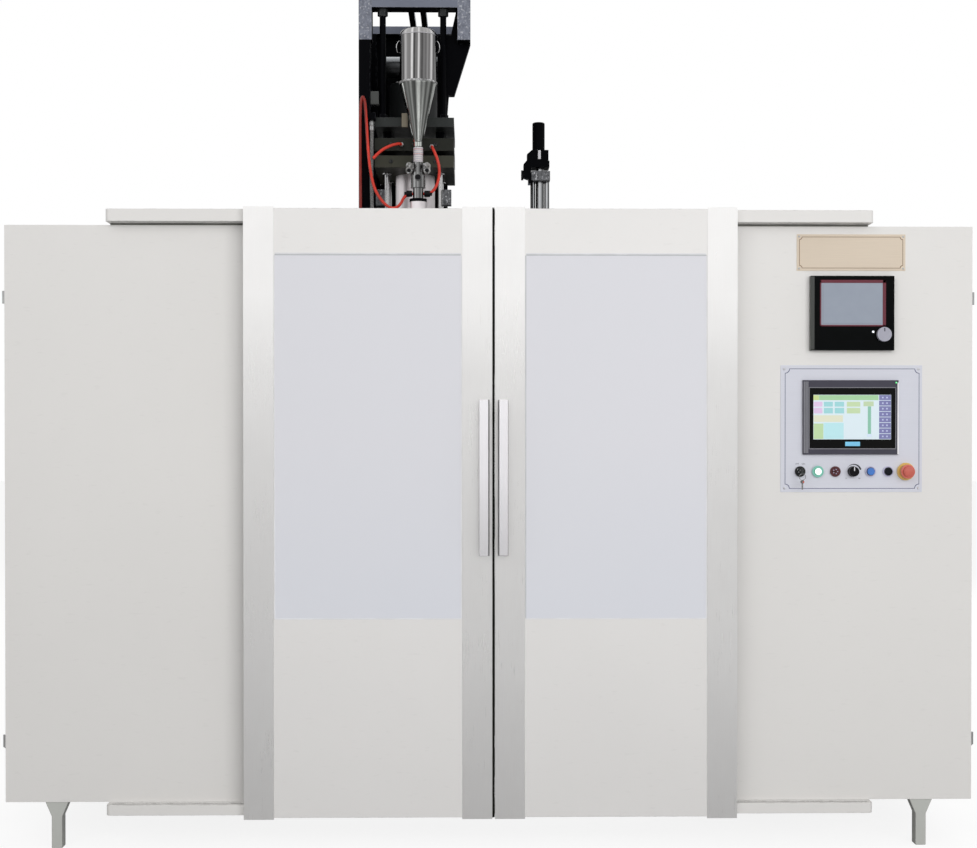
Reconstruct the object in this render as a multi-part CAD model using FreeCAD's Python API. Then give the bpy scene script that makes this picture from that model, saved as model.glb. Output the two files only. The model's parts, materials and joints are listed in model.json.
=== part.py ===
import FreeCAD, Part
import math
import os

V = FreeCAD.Vector

# Lengths are in millimetres. X runs to the right along the machine's front, Y runs to the back and Z up.
# A depth is measured backwards from the face of the closed sliding doors.

# Whole machine
MACHINE_BACK = 1900.0
HANDLE_PROJECTION = 40.0
DOOR_FACE_Y = -(MACHINE_BACK - HANDLE_PROJECTION) / 2

# Clearances
RUNNING_FIT = 0.05
SEAT_GAP = 0.3
PANEL_GAP = 2.0
CUTOUT_GAP = 1.0

# Sheet-metal guard: a cabinet on each side and a pair of sliding doors between them
SHEET = 2.0
CABINET_OUTER_X = 1385.0
CABINET_INNER_X = 695.0
CABINET_BOTTOM_Z = 133.0
CABINET_TOP_Z = 1780.0
CABINET_BACK = 950.0
FRONT_PANEL_FACE = 70.0
FRONT_PANEL_DEPTH = 25.0
SIDE_DOOR_DEPTH = 25.0
LEG_WIDTH = 30.0
LEG_DEPTH = 40.0
LEG_SETBACK = 2.0
FLARE_WIDTH = 66.0
FLARE_HEIGHT = 42.0

# Side-door hinges
KNUCKLE_R = 6.0
KNUCKLE_H = 36.0
HINGE_PIN_R = 2.5
PIVOT_STANDOFF = 6.5
PIVOT_DEPTH = 92.0
HINGE_LEAF = 3.0
DOOR_LEAF_REACH = 38.0
HINGE_Z = (305.0, 1576.0)

# Side-door locks
LOCK_R = 14.0
LOCK_H = 4.0
LOCK_SLOT_W = 4.0
LOCK_SLOT_DEPTH = 2.0
LOCK_FROM_EDGE = 40.0
LOCK_Z = (480.0, 1430.0)

# Sliding doors
DOOR_OUTER_X = 697.0
SEAM_X = 7.5
SEAM_GAP = 7.0
DOOR_BOTTOM_Z = 101.0
DOOR_TOP_Z = 1820.0
STILE_WIDTH = 85.0
STILE_OVERHANG = 4.5
STILE_RETURN = 30.0
LEAF_DEPTH = 20.0
LEAF_SKIN = 6.0
WINDOW_BOTTOM_Z = 663.0
WINDOW_TOP_Z = 1688.0
WINDOW_MARGIN = 3.0
WINDOW_THICKNESS = 3.0
WINDOW_LEDGE = 12.0
WINDOW_FIT = 0.5
HANDLE_WIDTH = 28.0
HANDLE_THICKNESS = 12.0
HANDLE_BOTTOM_Z = 843.0
HANDLE_TOP_Z = 1280.0
HANDLE_FROM_SEAM_EDGE = 23.0
HANDLE_POST_R = 8.0
HANDLE_POST_INSET = 45.0
HANGER_INSET = 150.0
HANGER_HALF_W = 40.0
HANGER_PLATE = 5.0
HANGER_FOOT_H = 15.0
HANGER_REACH = 60.0
SHOE_DEPTH = 21.0
SHOE_HEIGHT = 20.0
GUIDE_ENTRY = 15.0

# Door rails
RAIL_HALF_LENGTH = 1090.0
LEG_X = RAIL_HALF_LENGTH + 150.0
RAIL_FRONT = 28.0
RAIL_DEPTH = 84.0
RAIL_WALL = 3.0
TOP_RAIL_H = 35.0
BOTTOM_RAIL_H = 30.0
RAIL_SLOT_FRONT = 40.0
RAIL_SLOT_WIDTH = 13.0
RAIL_END_R = 12.0
RAIL_FOOT_H = 6.0
RAIL_FOOT_W = 60.0
RAIL_FOOT_X = (790.0, 1030.0)

# Welded base frame
POST = 70.0
FRONT_POST = 445.0
MIDDLE_POST = 1145.0
POST_BOTTOM_Z = 60.0
SILL_Z = 120.0
SILL_H = 80.0
TABLE_TOP_Z = 940.0
TABLE_BEAM_H = 80.0
BRIDGE_TOP_Z = 1500.0
BRIDGE_H = 70.0
DECK_T = 12.0
REAR_RAIL_BEAM = 985.0
CYLINDER_BEARER_H = 60.0
CYLINDER_BEARER_W = 40.0
HEAD_BEARER_W = 40.0
FOOT_PAD_R = 35.0
FOOT_PAD_H = 15.0
FOOT_STUD_R = 12.0
FOOT_NUT_R = 20.0
FOOT_NUT_H = 15.0

# Stations of the mould
DIE_X = -232.0
BLOW_X = 162.0
STATION_DEPTH = 560.0

# Head frame over the die station
HEAD_LEFT_X = -398.0
HEAD_RIGHT_X = -57.5
HEAD_FRONT = 375.0
HEAD_BACK = 756.0
HEAD_H = 1010.0
HEAD_TOP_Z = BRIDGE_TOP_Z + HEAD_H
TOP_BEAM_H = 25.0
TOP_BEAM_DEPTH = 60.0
HEAD_COLUMN_W = 35.0
GUSSET_W = 40.0
GUSSET_BOTTOM_Z = HEAD_TOP_Z - 124.0
BRACKET_NECK_Z = HEAD_TOP_Z - 283.0
BRACKET_NECK_X = (-107.0, -124.0)
BRACKET_FOOT_X = (-130.0, -160.0)
BRACKET_EDGE_X = (-102.0, -118.0)
BRACKET_EDGE_Z = HEAD_TOP_Z - 98.0
BRACKET_PLATE_T = 25.0
BRACKET_DEPTH = 422.0
HEAD_WEB_T = 10.0
REAR_WEB_RIGHT_X = -136.0
Y_BAR_W = 18.0
Y_BAR_H = 20.0
Y_BAR_X = (-241.0, -204.0)

# Three plates that hold the die head, highest first, at their drops below the head frame's top
PLATE_LEFT_X = -350.0
PLATE_RIGHT_X = -108.0
PLATE_FRONT = 385.0
PLATE_BACK = 735.0
PLATE_DROPS = (358.0, 421.0, 474.0)
PLATE_THICKNESSES = (28.0, 38.0, 36.0)
JACK_BOLT_R = 9.5
JACK_HEAD_R = 16.0
JACK_HEAD_H = 21.0
JACK_NUT_H = 10.5
JACK_X = (-326.0, -141.0)
JACK_DEPTH = 402.0
TIE_ROD_R = 7.0
TIE_COLLAR_R = 14.0
TIE_COLLAR_H = 7.0
TIE_ROD_X = (-317.0, -151.0)
TIE_ROD_DEPTHS = (480.0, 650.0)
ROD_CLAMP_HALF_D = 15.0
ROD_CLAMP_H = 48.0
ROD_CLAMP_DROP = 565.0
ROD_CLAMP_REACH = (5.0, 34.0)

# Die head and parison control
DIE_BODY_R = 62.0
DIE_BODY_BOTTOM_Z = 1560.0
DIE_NECK_R = 42.0
DIE_NECK_BOTTOM_Z = 1450.0
DIE_LIP_R = 32.0
DIE_LIP_Z = 1415.0
DIE_BORE_R = 22.0
DIE_BORE_TOP_Z = 1480.0
MANDREL_TIP_R = 18.0
MANDREL_ROD_R = 10.0
MANDREL_LIFT = 12.0
MANDREL_PLATE_HOLE_R = 13.0
SERVO_R = 84.0
SERVO_H = 132.0
SERVO_CAP_R = 50.0
SERVO_CAP_H = 22.0
SERVO_MOTOR_R = 37.0
SERVO_MOTOR_HALF_LENGTH = 90.0
MANDREL_INTO_SERVO = 66.0

# Stripe feeder: a small polished hopper over its feed body
FEEDER_X = -215.0
FEEDER_DEPTH = 318.0
HOPPER_R = 55.5
HOPPER_TOP_Z = HEAD_TOP_Z - 109.0
HOPPER_BODY_H = 162.0
HOPPER_CONE_H = 189.0
HOPPER_SPOUT_R = 12.5
HOPPER_WALL = 1.5
HOPPER_LIP_R = 57.5
HOPPER_LIP_H = 5.0
HOPPER_ROUND_R = 18.0
FEED_TUBE_R = 13.5
FEED_TUBE_H = 78.0
FEED_TUBE_BORE_R = 8.0
FEED_BODY_R = 22.0
FEED_BODY_H = 46.0
FEED_PORT_R = 10.0
FEED_PORT_BORE_R = 7.5
FEED_PORT_REACH = 6.0
FEED_PORT_DROP = 17.0
FEED_WAIST_R = 16.0
FEED_WAIST_H = 33.0
FEED_FLANGE_R = 26.0
FEED_FLANGE_H = 9.0
FEED_BARREL_R = 25.0
FEED_ARM_H = 60.0
FEED_ARM_HALF_W = 22.0
YOKE_HALF_W = 37.0
YOKE_T = 14.0
YOKE_H = 16.0
YOKE_RISE = 13.0
YOKE_ROUND_R = 6.0
YOKE_KNOB_R = 7.0
YOKE_KNOB_X = 27.0
YOKE_KNOB_REACH = 26.0

# Extruder
BARREL_Z = 1750.0
BARREL_R = 45.0
BARREL_BORE_R = 30.0
BARREL_FRONT = 680.0
BARREL_FLANGE_R = 70.0
BARREL_FLANGE_T = 25.0
GEARBOX_FRONT = 1545.0
ADAPTER_HALF = 50.0
MELT_BORE_R = 15.0
BAND_R = 58.0
BAND_GAP = 15.0
BAND_COUNT = 5
BAND_START = 725.0
BAND_THROAT_GAP = 55.0
BAND_LUG_H = 24.0
BAND_LUG_T = 14.0
BAND_LUG_REACH = 16.0
BAND_BOX_HALF = 16.0
BAND_BOX_REACH = 20.0
THROAT_HALF = 60.0
THROAT_TOP_Z = 1820.0
THROAT_BORE_R = 24.0
SCREW_SHANK_R = 20.0
SCREW_TIP_R = 25.0
SCREW_FIT = 0.3
SCREW_SHANK_INTO_GEARBOX = 120.0
SCREW_LAND = 30.0
MAIN_HOPPER_TOP_Z = THROAT_TOP_Z + 165.0
MAIN_HOPPER_TOP_HALF = 170.0
THROAT_TO_GEARBOX = MAIN_HOPPER_TOP_HALF + 10.0
MAIN_HOPPER_BOTTOM_HALF = 45.0
MAIN_HOPPER_WALL = 3.0
MAIN_HOPPER_RIM_H = 45.0
GEARBOX_BACK = 1870.0
GEARBOX_LEFT_X = -400.0
GEARBOX_RIGHT_X = 170.0
GEARBOX_TOP_Z = BARREL_Z + 130.0
GEARBOX_ROUND = 20.0
GEARBOX_FLANGE_REACH = 16.0
GEARBOX_FLANGE_H = 20.0
GEARBOX_RIB_T = 14.0
GEARBOX_RIB_COUNT = 4
COVER_MARGIN = 70.0
COVER_T = 12.0
BREATHER_R = 16.0
BREATHER_H = 30.0
MOTOR_X = 35.0
MOTOR_Z = 1660.0
MOTOR_R = 115.0
MOTOR_ROOT_R = 104.0
MOTOR_COWL_R = 118.0
MOTOR_COWL_L = 70.0
MOTOR_COWL_GAP = 8.0
MOTOR_COWL_ROUND = 14.0
MOTOR_BELL_L = 40.0
MOTOR_FIN_COUNT = 36
MOTOR_FRONT = 1165.0
MOTOR_FLANGE_R = 135.0
MOTOR_FLANGE_T = 20.0
MOTOR_FOOT_HALF_W = 100.0
MOTOR_FOOT_HALF_L = 130.0
MOTOR_FOOT_T = 16.0
MOTOR_WEB_HALF_W = 50.0
TERMINAL_BOX = (110.0, 130.0, 30.0)

# Hydraulics
TANK_LEFT_X = -560.0
TANK_RIGHT_X = 200.0
TANK_FRONT = 1250.0
TANK_BACK = 1800.0
TANK_TOP_Z = 620.0
TANK_WALL = 5.0
TANK_LIP = 14.0
TANK_LID_T = 8.0
TANK_PORT_R = 60.0
TANK_GAUGE_HALF_W = 16.0
TANK_GAUGE_Z = (330.0, 540.0)
TANK_GAUGE_T = 12.0
TANK_GAUGE_INSET = 110.0
FILLER_INSET = 100.0
FILLER_NECK_R = 24.0
FILLER_CAP_R = 32.0
FILLER_NECK_H = 16.0
FILLER_CAP_H = 24.0
COVER_PLATE_R = 125.0
COVER_PLATE_T = 8.0
PUMP_X = -180.0
PUMP_DEPTH = 1525.0
PUMP_BELL_R = 85.0
PUMP_BELL_H = 90.0
PUMP_BELL_FLANGE_R = 105.0
PUMP_BELL_FLANGE_H = 12.0
PUMP_MOTOR_R = 100.0
PUMP_MOTOR_ROOT_R = 90.0
PUMP_MOTOR_H = 260.0
PUMP_COWL_R = 102.0
PUMP_COWL_H = 50.0
PUMP_COWL_GAP = 6.0
PUMP_BELL_END_H = 30.0
PUMP_FIN_COUNT = 32
PUMP_BOX = (60.0, 90.0, 26.0)
PUMP_INTO_TANK = 120.0

# Shuttle: rails along X, and a carriage that carries the clamp
SHUTTLE_RAIL_W = 30.0
SHUTTLE_RAIL_H = 25.0
SHUTTLE_RAIL_ENDS = (-615.0, 560.0)
SHOE_BLOCK_W = 64.0
SHOE_BLOCK_LENGTH = 90.0
SHOE_BLOCK_TOP = 45.0
CARRIAGE_PLATE_T = 25.0
CARRIAGE_HALF_W = 210.0
CARRIAGE_FRONT = 260.0
CARRIAGE_BACK = 1135.0
WAY_X = 150.0
WAY_W = 40.0
WAY_H = 25.0
SHUTTLE_CYL_DEPTH = 750.0
SHUTTLE_CYL_Z = 898.0
SHUTTLE_CYL_R = 28.0
SHUTTLE_CYL_BORE_R = 20.0
SHUTTLE_CYL_LEFT_X = -620.0
SHUTTLE_CYL_CAP = 18.0
SHUTTLE_ROD_R = 10.0
SHUTTLE_PISTON_T = 14.0
SHUTTLE_LUG_HALF_W = 30.0
SHUTTLE_LUG_T = 30.0
SHUTTLE_LUG_INSET = 60.0
SHUTTLE_FOOT_LENGTH = 30.0

# Clamp
PLATEN_T = 45.0
PLATEN_BOTTOM_Z = 1040.0
PLATEN_TOP_Z = 1390.0
PLATEN_SHOE_W = 76.0
PLATEN_SHOE_LENGTH = 110.0
PLATEN_SHOE_BOTTOM_GAP = 1.0
PLATEN_SHOE_ROOF = 12.0
PLATEN_CORNER = 28.0
PLATEN_RIB_T = 22.0
PLATEN_RIB_X = 55.0
PLATEN_RIB_DEPTH = 28.0
PLATEN_RIB_INSET = 40.0
TIE_BAR_R = 17.5
TIE_BAR_X = 175.0
TIE_BAR_Z = 135.0
TIE_BAR_NUT_R = 28.0
TIE_BAR_NUT_T = 20.0
OPENING_STROKE = 140.0
STROKE_SPARE = 80.0
CLAMP_CYL_R = 75.0
CLAMP_CYL_BORE_R = 55.0
CLAMP_CYL_CAP = 20.0
CLAMP_CYL_ENTRY = 15.0
CLAMP_CYL_SPARE = 60.0
CLAMP_ROD_R = 25.0
CLAMP_PISTON_T = 24.0

# Mould
MOULD_HALF_T = 80.0
MOULD_HALF_W = 150.0
MOULD_BOTTOM_Z = 1065.0
MOULD_TOP_Z = 1365.0
BOTTLE_R = 60.0
BOTTLE_BOTTOM_Z = 1105.0
BOTTLE_SHOULDER_Z = 1285.0
BOTTLE_NECK_Z = 1330.0
BOTTLE_NECK_R = 19.0
BOTTLE_BASE_R = 8.0
GUIDE_PIN_R = 8.0
GUIDE_PIN_LENGTH = 25.0
GUIDE_PIN_X = 115.0
GUIDE_PIN_Z = 115.0

# Blow unit
BLOW_BEARER_X = 85.0
BLOW_PLATE_HALF_W = 110.0
BLOW_PLATE_HALF_D = 90.0
BLOW_PLATE_T = 20.0
BLOW_PLATE_HOLE_R = 20.0
GUIDE_ROD_R = 8.0
GUIDE_ROD_X = 22.0
CLAMP_BLOCK_HALF_W = 29.0
CLAMP_BLOCK_SHIFT = 2.0
CLAMP_BLOCK_HALF_D = 35.0
CLAMP_BLOCK_Z = (1984.5, 2014.0)
BLOW_CYL_R = 13.0
BLOW_CYL_BORE_R = 9.0
BLOW_CYL_BOTTOM_Z = 1700.0
BLOW_CYL_CAP = 12.0
BRACKET_HALF_W = 26.0
BRACKET_Z = (2026.0, 2080.0)
BRACKET_FOOT_H = 20.0
BRACKET_FOOT_REACH = 3.0
SCALE_SLOT_X = (-7.5, 2.0)
SCALE_SLOT_H = 29.0
SCALE_SLOT_DEPTH = 8.0
STROKE_TUBE_R = 19.5
STROKE_TUBE_SHIFT = -4.0
STROKE_TUBE_TOP_Z = 2171.0
STROKE_TUBE_ROUND = 4.0
ARM_T = 30.0
ARM_PROFILE = ((0.0, 0.0), (-15.5, -13.5), (-15.5, -32.0), (-26.5, -45.0), (-26.5, -87.0),
               (-12.5, -91.5), (-12.5, -107.0), (-2.0, -107.0), (-2.0, -54.0), (0.0, -54.0))
KNOB_DROP = 77.0
STAR_R = 17.0
STAR_T = 7.0
STAR_STEM_R = 4.0
STAR_STEM_DEPTH = 6.0
STAR_POINTS = 5
STAR_WAIST = 0.6
BLOW_STROKE = 115.0
BLOW_STROKE_SPARE = 23.0
PIN_YOKE_Z = 1650.0
PIN_YOKE_T = 20.0
PIN_YOKE_HALF_W = 36.0
PIN_YOKE_HALF_D = 24.0
BLOW_PIN_R = 14.0
BLOW_TIP_R = 10.0
BLOW_TIP_H = 22.0
BLOW_PIN_BOTTOM_Z = 1400.0
BLOW_ROD_R = 6.0
BLOW_PISTON_T = 12.0

# Operator controls on the right front panel
PLATE_X = (832.0, 1240.0)
PLATE_Z = (1018.0, 1382.0)
PLATE_T = 2.0
HMI_X = (895.0, 1170.0)
HMI_Z = (1126.0, 1339.0)
HMI_PROUD = 9.0
HMI_BODY_INSET = 10.0
HMI_BODY_DEPTH = 60.0
HMI_SCREEN_INSET = (28.0, 26.0)
HMI_SCREEN_RECESS = 1.0
CONTROLLER_X = (915.0, 1155.0)
CONTROLLER_Z = (1424.0, 1637.0)
CONTROLLER_PROUD = 20.0
CONTROLLER_BODY_INSET = 12.0
CONTROLLER_BODY_DEPTH = 110.0
CONTROLLER_SCREEN_INSET = (28.0, 12.0, 70.0)
CONTROLLER_SCREEN_RECESS = 2.0
CONTROLLER_KNOB_X = 1123.0
CONTROLLER_KNOB_Z = 1469.0
CONTROLLER_KNOB_R = 20.5
CONTROLLER_KNOB_H = 16.0
CONTROLLER_SHAFT_R = 4.0
CONTROLLER_SHAFT_LENGTH = 15.0
ROW_Z = 1077.0
ROW_START_X = 888.0
ROW_PITCH = 50.7
ROW_COUNT = 7
BEZEL_R = 15.0
BEZEL_H = 6.0
BEZEL_BORE_R = 10.5
BEZEL_BARREL_R = 12.5
BEZEL_BARREL_END = 118.0
BEZEL_NUT_R = 17.0
BEZEL_NUT_H = 7.0
COLLAR_R = 25.0
COLLAR_H = 8.0
BUZZER_HOLE_R = 2.0
BUZZER_HOLE_RING = 7.0
BUZZER_HOLE_COUNT = 4
BUTTON_PROUD = 6.0
PLUNGER_END = 108.0
ESTOP_HEAD_R = 20.0
ESTOP_HEAD_H = 14.0
ESTOP_HEAD_GAP = 10.0
SPEED_KNOB_R = 14.0
SPEED_KNOB_H = 17.0
KEY_BLADE_W = 8.0
KEY_BLADE_LENGTH = 14.0
KEY_BOW_W = 20.0
KEY_BOW_LENGTH = 20.0
KEY_T = 2.5

# Hoses and conduit over the die station, and the two gland blocks on the left column that hold them.
# A route's heights above zero are measured from the bridge's top, those below zero from the head frame's top.
GLAND_BLOCK_X = (-396.0, -345.0)
GLAND_BLOCK_DEPTH = 32.0
GLAND_BLOCK_H = 20.0
CONDUIT_GLAND_X = -372.0
CONDUIT_GLAND_DROP = 373.0
CONDUIT_GLAND_H = 22.0
ARC_SHARE = 0.45
HOSE_R = 4.5
HOSE_ROUTES = (
    ((-385.0, 358.0, 20.0), (-385.0, 358.0, 140.0), (-381.0, 354.0, 280.0), (-385.0, 349.0, -595.0),
     (-382.0, 342.0, -475.0), (-386.0, 336.0, -392.0), (-388.0, 334.0, -340.0), (-387.0, 334.0, -313.0),
     (-375.0, 333.0, -306.0), (-363.0, 333.0, -313.0), (-362.0, 333.0, -340.0), (-363.0, 334.0, -392.0),
     (-359.0, 334.0, -462.0), (-351.0, 334.0, -525.0), (-335.0, 333.0, -578.0), (-312.0, 330.0, -614.0),
     (-287.0, 325.0, -630.0), (-264.0, 320.0, -623.0), (-250.0, 318.0, -601.0), (-231.0, 318.0, -601.0)),
    ((-268.0, 385.0, -442.0), (-268.0, 362.0, -442.0), (-281.0, 343.0, -446.0), (-306.0, 333.0, -456.0),
     (-331.0, 328.0, -471.0), (-351.0, 324.0, -494.0)),
    ((-176.0, 385.0, -448.0), (-176.0, 362.0, -448.0), (-169.0, 345.0, -465.0), (-157.0, 335.0, -494.0),
     (-150.0, 328.0, -529.0), (-155.0, 321.0, -565.0), (-167.0, 318.0, -590.0), (-182.0, 318.0, -601.0),
     (-199.0, 318.0, -601.0)),
)
CONDUIT_R = 5.5
CONDUIT_ROUTE = ((-357.0, 365.0, -373.0), (-357.0, 365.0, -440.0), (-359.0, 365.0, -550.0),
                 (-356.0, 366.0, 340.0), (-361.0, 364.0, 220.0), (-360.0, 360.0, 110.0),
                 (-360.0, 360.0, 20.0))


def behind(depth):
    return DOOR_FACE_Y + depth


def block(x0, x1, depth0, depth1, z0, z1):
    return Part.makeBox(x1 - x0, depth1 - depth0, z1 - z0, V(x0, behind(depth0), z0))


def bar_x(radius, x0, x1, depth, z):
    return Part.makeCylinder(radius, x1 - x0, V(x0, behind(depth), z), V(1, 0, 0))


def bar_y(radius, depth0, depth1, x, z):
    return Part.makeCylinder(radius, depth1 - depth0, V(x, behind(depth0), z), V(0, 1, 0))


def bar_z(radius, z0, z1, x, depth):
    return Part.makeCylinder(radius, z1 - z0, V(x, behind(depth), z0), V(0, 0, 1))


def join(shapes):
    return shapes[0].multiFuse(shapes[1:]).removeSplitter()


def cut(shape, tools):
    return shape.cut(tools).removeSplitter()


def group(shapes):
    return Part.makeCompound(shapes)


def mirrored(shape):
    return shape.mirror(V(0, 0, 0), V(1, 0, 0))


def polygon_face(points):
    return Part.Face(Part.makePolygon(points + [points[0]]))


def hexagon(radius, z0, z1, x, depth):
    corners = [V(x + radius * math.cos(math.pi / 3 * i), behind(depth) + radius * math.sin(math.pi / 3 * i), z0)
               for i in range(6)]
    return polygon_face(corners).extrude(V(0, 0, z1 - z0))


def ribbed(radius, root, count, length):
    """Round bar along Z with as many straight fins, from its root radius out to its full radius."""
    points = []
    for i in range(4 * count):
        reach = radius if i % 4 < 2 else root
        angle = 2 * math.pi * i / (4 * count)
        points.append(V(reach * math.cos(angle), reach * math.sin(angle), 0))
    return polygon_face(points).extrude(V(0, 0, length))


def turned(profile, x, depth):
    """Solid of revolution about an upright axis, from (radius, z) points."""
    points = [V(x + r, behind(depth), z) for r, z in profile]
    return polygon_face(points).revolve(V(x, behind(depth), 0), V(0, 0, 1), 360)


def tray(x0, x1, depth0, depth1, z0, z1, skin, wall):
    """Folded tray: a front skin with its four edges bent backwards."""
    outer = block(x0, x1, depth0, depth1, z0, z1)
    pocket = block(x0 + wall, x1 - wall, depth0 + skin, depth1 + wall, z0 + wall, z1 - wall)
    return outer.cut(pocket)


# ---------------------------------------------------------------- cabinets

def row_x(place):
    return ROW_START_X + ROW_PITCH * place


def front_panel():
    return tray(CABINET_INNER_X, CABINET_OUTER_X, FRONT_PANEL_FACE, FRONT_PANEL_FACE + FRONT_PANEL_DEPTH,
                CABINET_BOTTOM_Z, CABINET_TOP_Z, SHEET, SHEET)


def hinge_knuckle(z0, z1):
    """Half a hinge's height, on the right-hand side of the machine."""
    return bar_z(KNUCKLE_R, z0, z1, CABINET_OUTER_X + PIVOT_STANDOFF, PIVOT_DEPTH)


def fixed_hinges():
    """Lower knuckle, leaf and pin of each side-door hinge."""
    shapes = []
    for z in HINGE_Z:
        low = z - KNUCKLE_H / 2
        knuckle = hinge_knuckle(low, z)
        leaf = block(CABINET_OUTER_X, CABINET_OUTER_X + HINGE_LEAF,
                     FRONT_PANEL_FACE + SHEET, PIVOT_DEPTH, low, z)
        pin = bar_z(HINGE_PIN_R, low, z + KNUCKLE_H / 2, CABINET_OUTER_X + PIVOT_STANDOFF, PIVOT_DEPTH)
        shapes.append(join([knuckle, leaf, pin]))
    return shapes


def left_front_panel():
    return mirrored(join([front_panel()] + fixed_hinges()))


def panel_cutouts():
    """Openings for the screens and the row of controls, right through the plate and the panel."""
    front = FRONT_PANEL_FACE - PLATE_T
    back = FRONT_PANEL_FACE + SHEET
    hmi = block(HMI_X[0] + HMI_BODY_INSET - CUTOUT_GAP, HMI_X[1] - HMI_BODY_INSET + CUTOUT_GAP,
                front, back, HMI_Z[0] + HMI_BODY_INSET - CUTOUT_GAP, HMI_Z[1] - HMI_BODY_INSET + CUTOUT_GAP)
    holes = [bar_y(BEZEL_BARREL_R + RUNNING_FIT, front, back, row_x(i), ROW_Z) for i in range(ROW_COUNT)]
    return [hmi] + holes


def right_front_panel():
    panel = join([front_panel()] + fixed_hinges())
    inset = CONTROLLER_BODY_INSET - CUTOUT_GAP
    controller = block(CONTROLLER_X[0] + inset, CONTROLLER_X[1] - inset, FRONT_PANEL_FACE,
                       FRONT_PANEL_FACE + SHEET, CONTROLLER_Z[0] + inset, CONTROLLER_Z[1] - inset)
    return cut(panel, panel_cutouts() + [controller])


def cabinet():
    """Right-hand cabinet body: floor, roof, inner wall and back, open to the front and the outside."""
    front = FRONT_PANEL_FACE + FRONT_PANEL_DEPTH
    outer = block(CABINET_INNER_X, CABINET_OUTER_X, front, CABINET_BACK, CABINET_BOTTOM_Z, CABINET_TOP_Z)
    inside = block(CABINET_INNER_X + SHEET, CABINET_OUTER_X + SHEET, front - SHEET, CABINET_BACK - SHEET,
                   CABINET_BOTTOM_Z + SHEET, CABINET_TOP_Z - SHEET)
    return outer.cut(inside)


def side_door():
    """Right-hand side door: a tray that closes the cabinet's outer side, with its hinge halves."""
    front = FRONT_PANEL_FACE + FRONT_PANEL_DEPTH + PANEL_GAP
    back = CABINET_BACK - SHEET - PANEL_GAP
    low = CABINET_BOTTOM_Z + SHEET + PANEL_GAP
    high = CABINET_TOP_Z - SHEET - PANEL_GAP
    inner = CABINET_OUTER_X - SIDE_DOOR_DEPTH
    outer = block(inner, CABINET_OUTER_X, front, back, low, high)
    pocket = block(inner - SHEET, CABINET_OUTER_X - SHEET, front + SHEET, back - SHEET,
                   low + SHEET, high - SHEET)
    door = outer.cut(pocket)
    hinges = []
    for z in HINGE_Z:
        bottom = z + SEAT_GAP
        top = z + KNUCKLE_H / 2
        knuckle = hinge_knuckle(bottom, top)
        leaf = block(CABINET_OUTER_X, CABINET_OUTER_X + HINGE_LEAF, PIVOT_DEPTH + KNUCKLE_R / 2,
                     PIVOT_DEPTH + DOOR_LEAF_REACH, bottom, top)
        bore = bar_z(HINGE_PIN_R + RUNNING_FIT, bottom, top, CABINET_OUTER_X + PIVOT_STANDOFF, PIVOT_DEPTH)
        hinges.append(join([knuckle, leaf]).cut(bore))
    return join([door] + hinges + [door_lock(back - LOCK_FROM_EDGE, z) for z in LOCK_Z])


def door_lock(depth, z):
    """Quarter-turn lock with a slotted head."""
    face = CABINET_OUTER_X + LOCK_H
    head = bar_x(LOCK_R, CABINET_OUTER_X, face, depth, z)
    slot = block(face - LOCK_SLOT_DEPTH, face, depth - LOCK_SLOT_W / 2, depth + LOCK_SLOT_W / 2,
                 z - LOCK_R, z + LOCK_R)
    return head.cut(slot)


def guard_legs():
    """Four legs under the cabinets, each with a flared head."""
    shapes = []
    half = LEG_WIDTH / 2
    flare = FLARE_WIDTH / 2
    top = CABINET_BOTTOM_Z
    front = FRONT_PANEL_FACE + LEG_SETBACK
    for depth in (front, CABINET_BACK - LEG_DEPTH - LEG_SETBACK):
        for x in (-LEG_X, LEG_X):
            corners = [(-half, 0), (half, 0), (half, top - FLARE_HEIGHT), (flare, top), (-flare, top),
                       (-half, top - FLARE_HEIGHT)]
            points = [V(x + dx, behind(depth), z) for dx, z in corners]
            shapes.append(polygon_face(points).extrude(V(0, LEG_DEPTH, 0)))
    return group(shapes)


# ---------------------------------------------------------------- sliding doors

LEAF_BACK = SHEET + LEAF_DEPTH
SLOT_MIDDLE = RAIL_SLOT_FRONT + RAIL_SLOT_WIDTH / 2
TOP_RAIL_BOTTOM_Z = CABINET_TOP_Z + RAIL_FOOT_H
SHOE_REST_Z = TOP_RAIL_BOTTOM_Z + RAIL_WALL + SEAT_GAP
LEFT_DOOR_X = (-DOOR_OUTER_X, SEAM_X - SEAM_GAP / 2)
RIGHT_DOOR_X = (SEAM_X + SEAM_GAP / 2, DOOR_OUTER_X)


def window_span(x0, x1):
    return x0 + STILE_WIDTH + WINDOW_MARGIN, x1 - STILE_WIDTH - WINDOW_MARGIN


def door_hangers(x0, x1):
    """Top hangers with their sliding shoes, and bottom guide plates."""
    shapes = []
    web = SLOT_MIDDLE - HANGER_PLATE / 2
    back = SLOT_MIDDLE + HANGER_PLATE / 2
    foot_z = DOOR_TOP_Z - HANGER_REACH - HANGER_FOOT_H
    guide_z = DOOR_BOTTOM_Z + HANGER_REACH
    guide_tip_z = CABINET_BOTTOM_Z - GUIDE_ENTRY
    for x in (x0 + HANGER_INSET, x1 - HANGER_INSET):
        left = x - HANGER_HALF_W
        right = x + HANGER_HALF_W
        foot = block(left, right, SHEET + LEAF_SKIN, back, foot_z, foot_z + HANGER_FOOT_H)
        plate = block(left, right, web, back, foot_z, SHOE_REST_Z + SHOE_HEIGHT)
        shoe = block(left, right, SLOT_MIDDLE - SHOE_DEPTH / 2, SLOT_MIDDLE + SHOE_DEPTH / 2,
                     SHOE_REST_Z, SHOE_REST_Z + SHOE_HEIGHT)
        guide_foot = block(left, right, SHEET + LEAF_SKIN, back, guide_z, guide_z + HANGER_FOOT_H)
        guide = block(left, right, web, back, guide_tip_z, guide_z + HANGER_FOOT_H)
        shapes += [foot, plate, shoe, guide_foot, guide]
    return shapes


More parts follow.
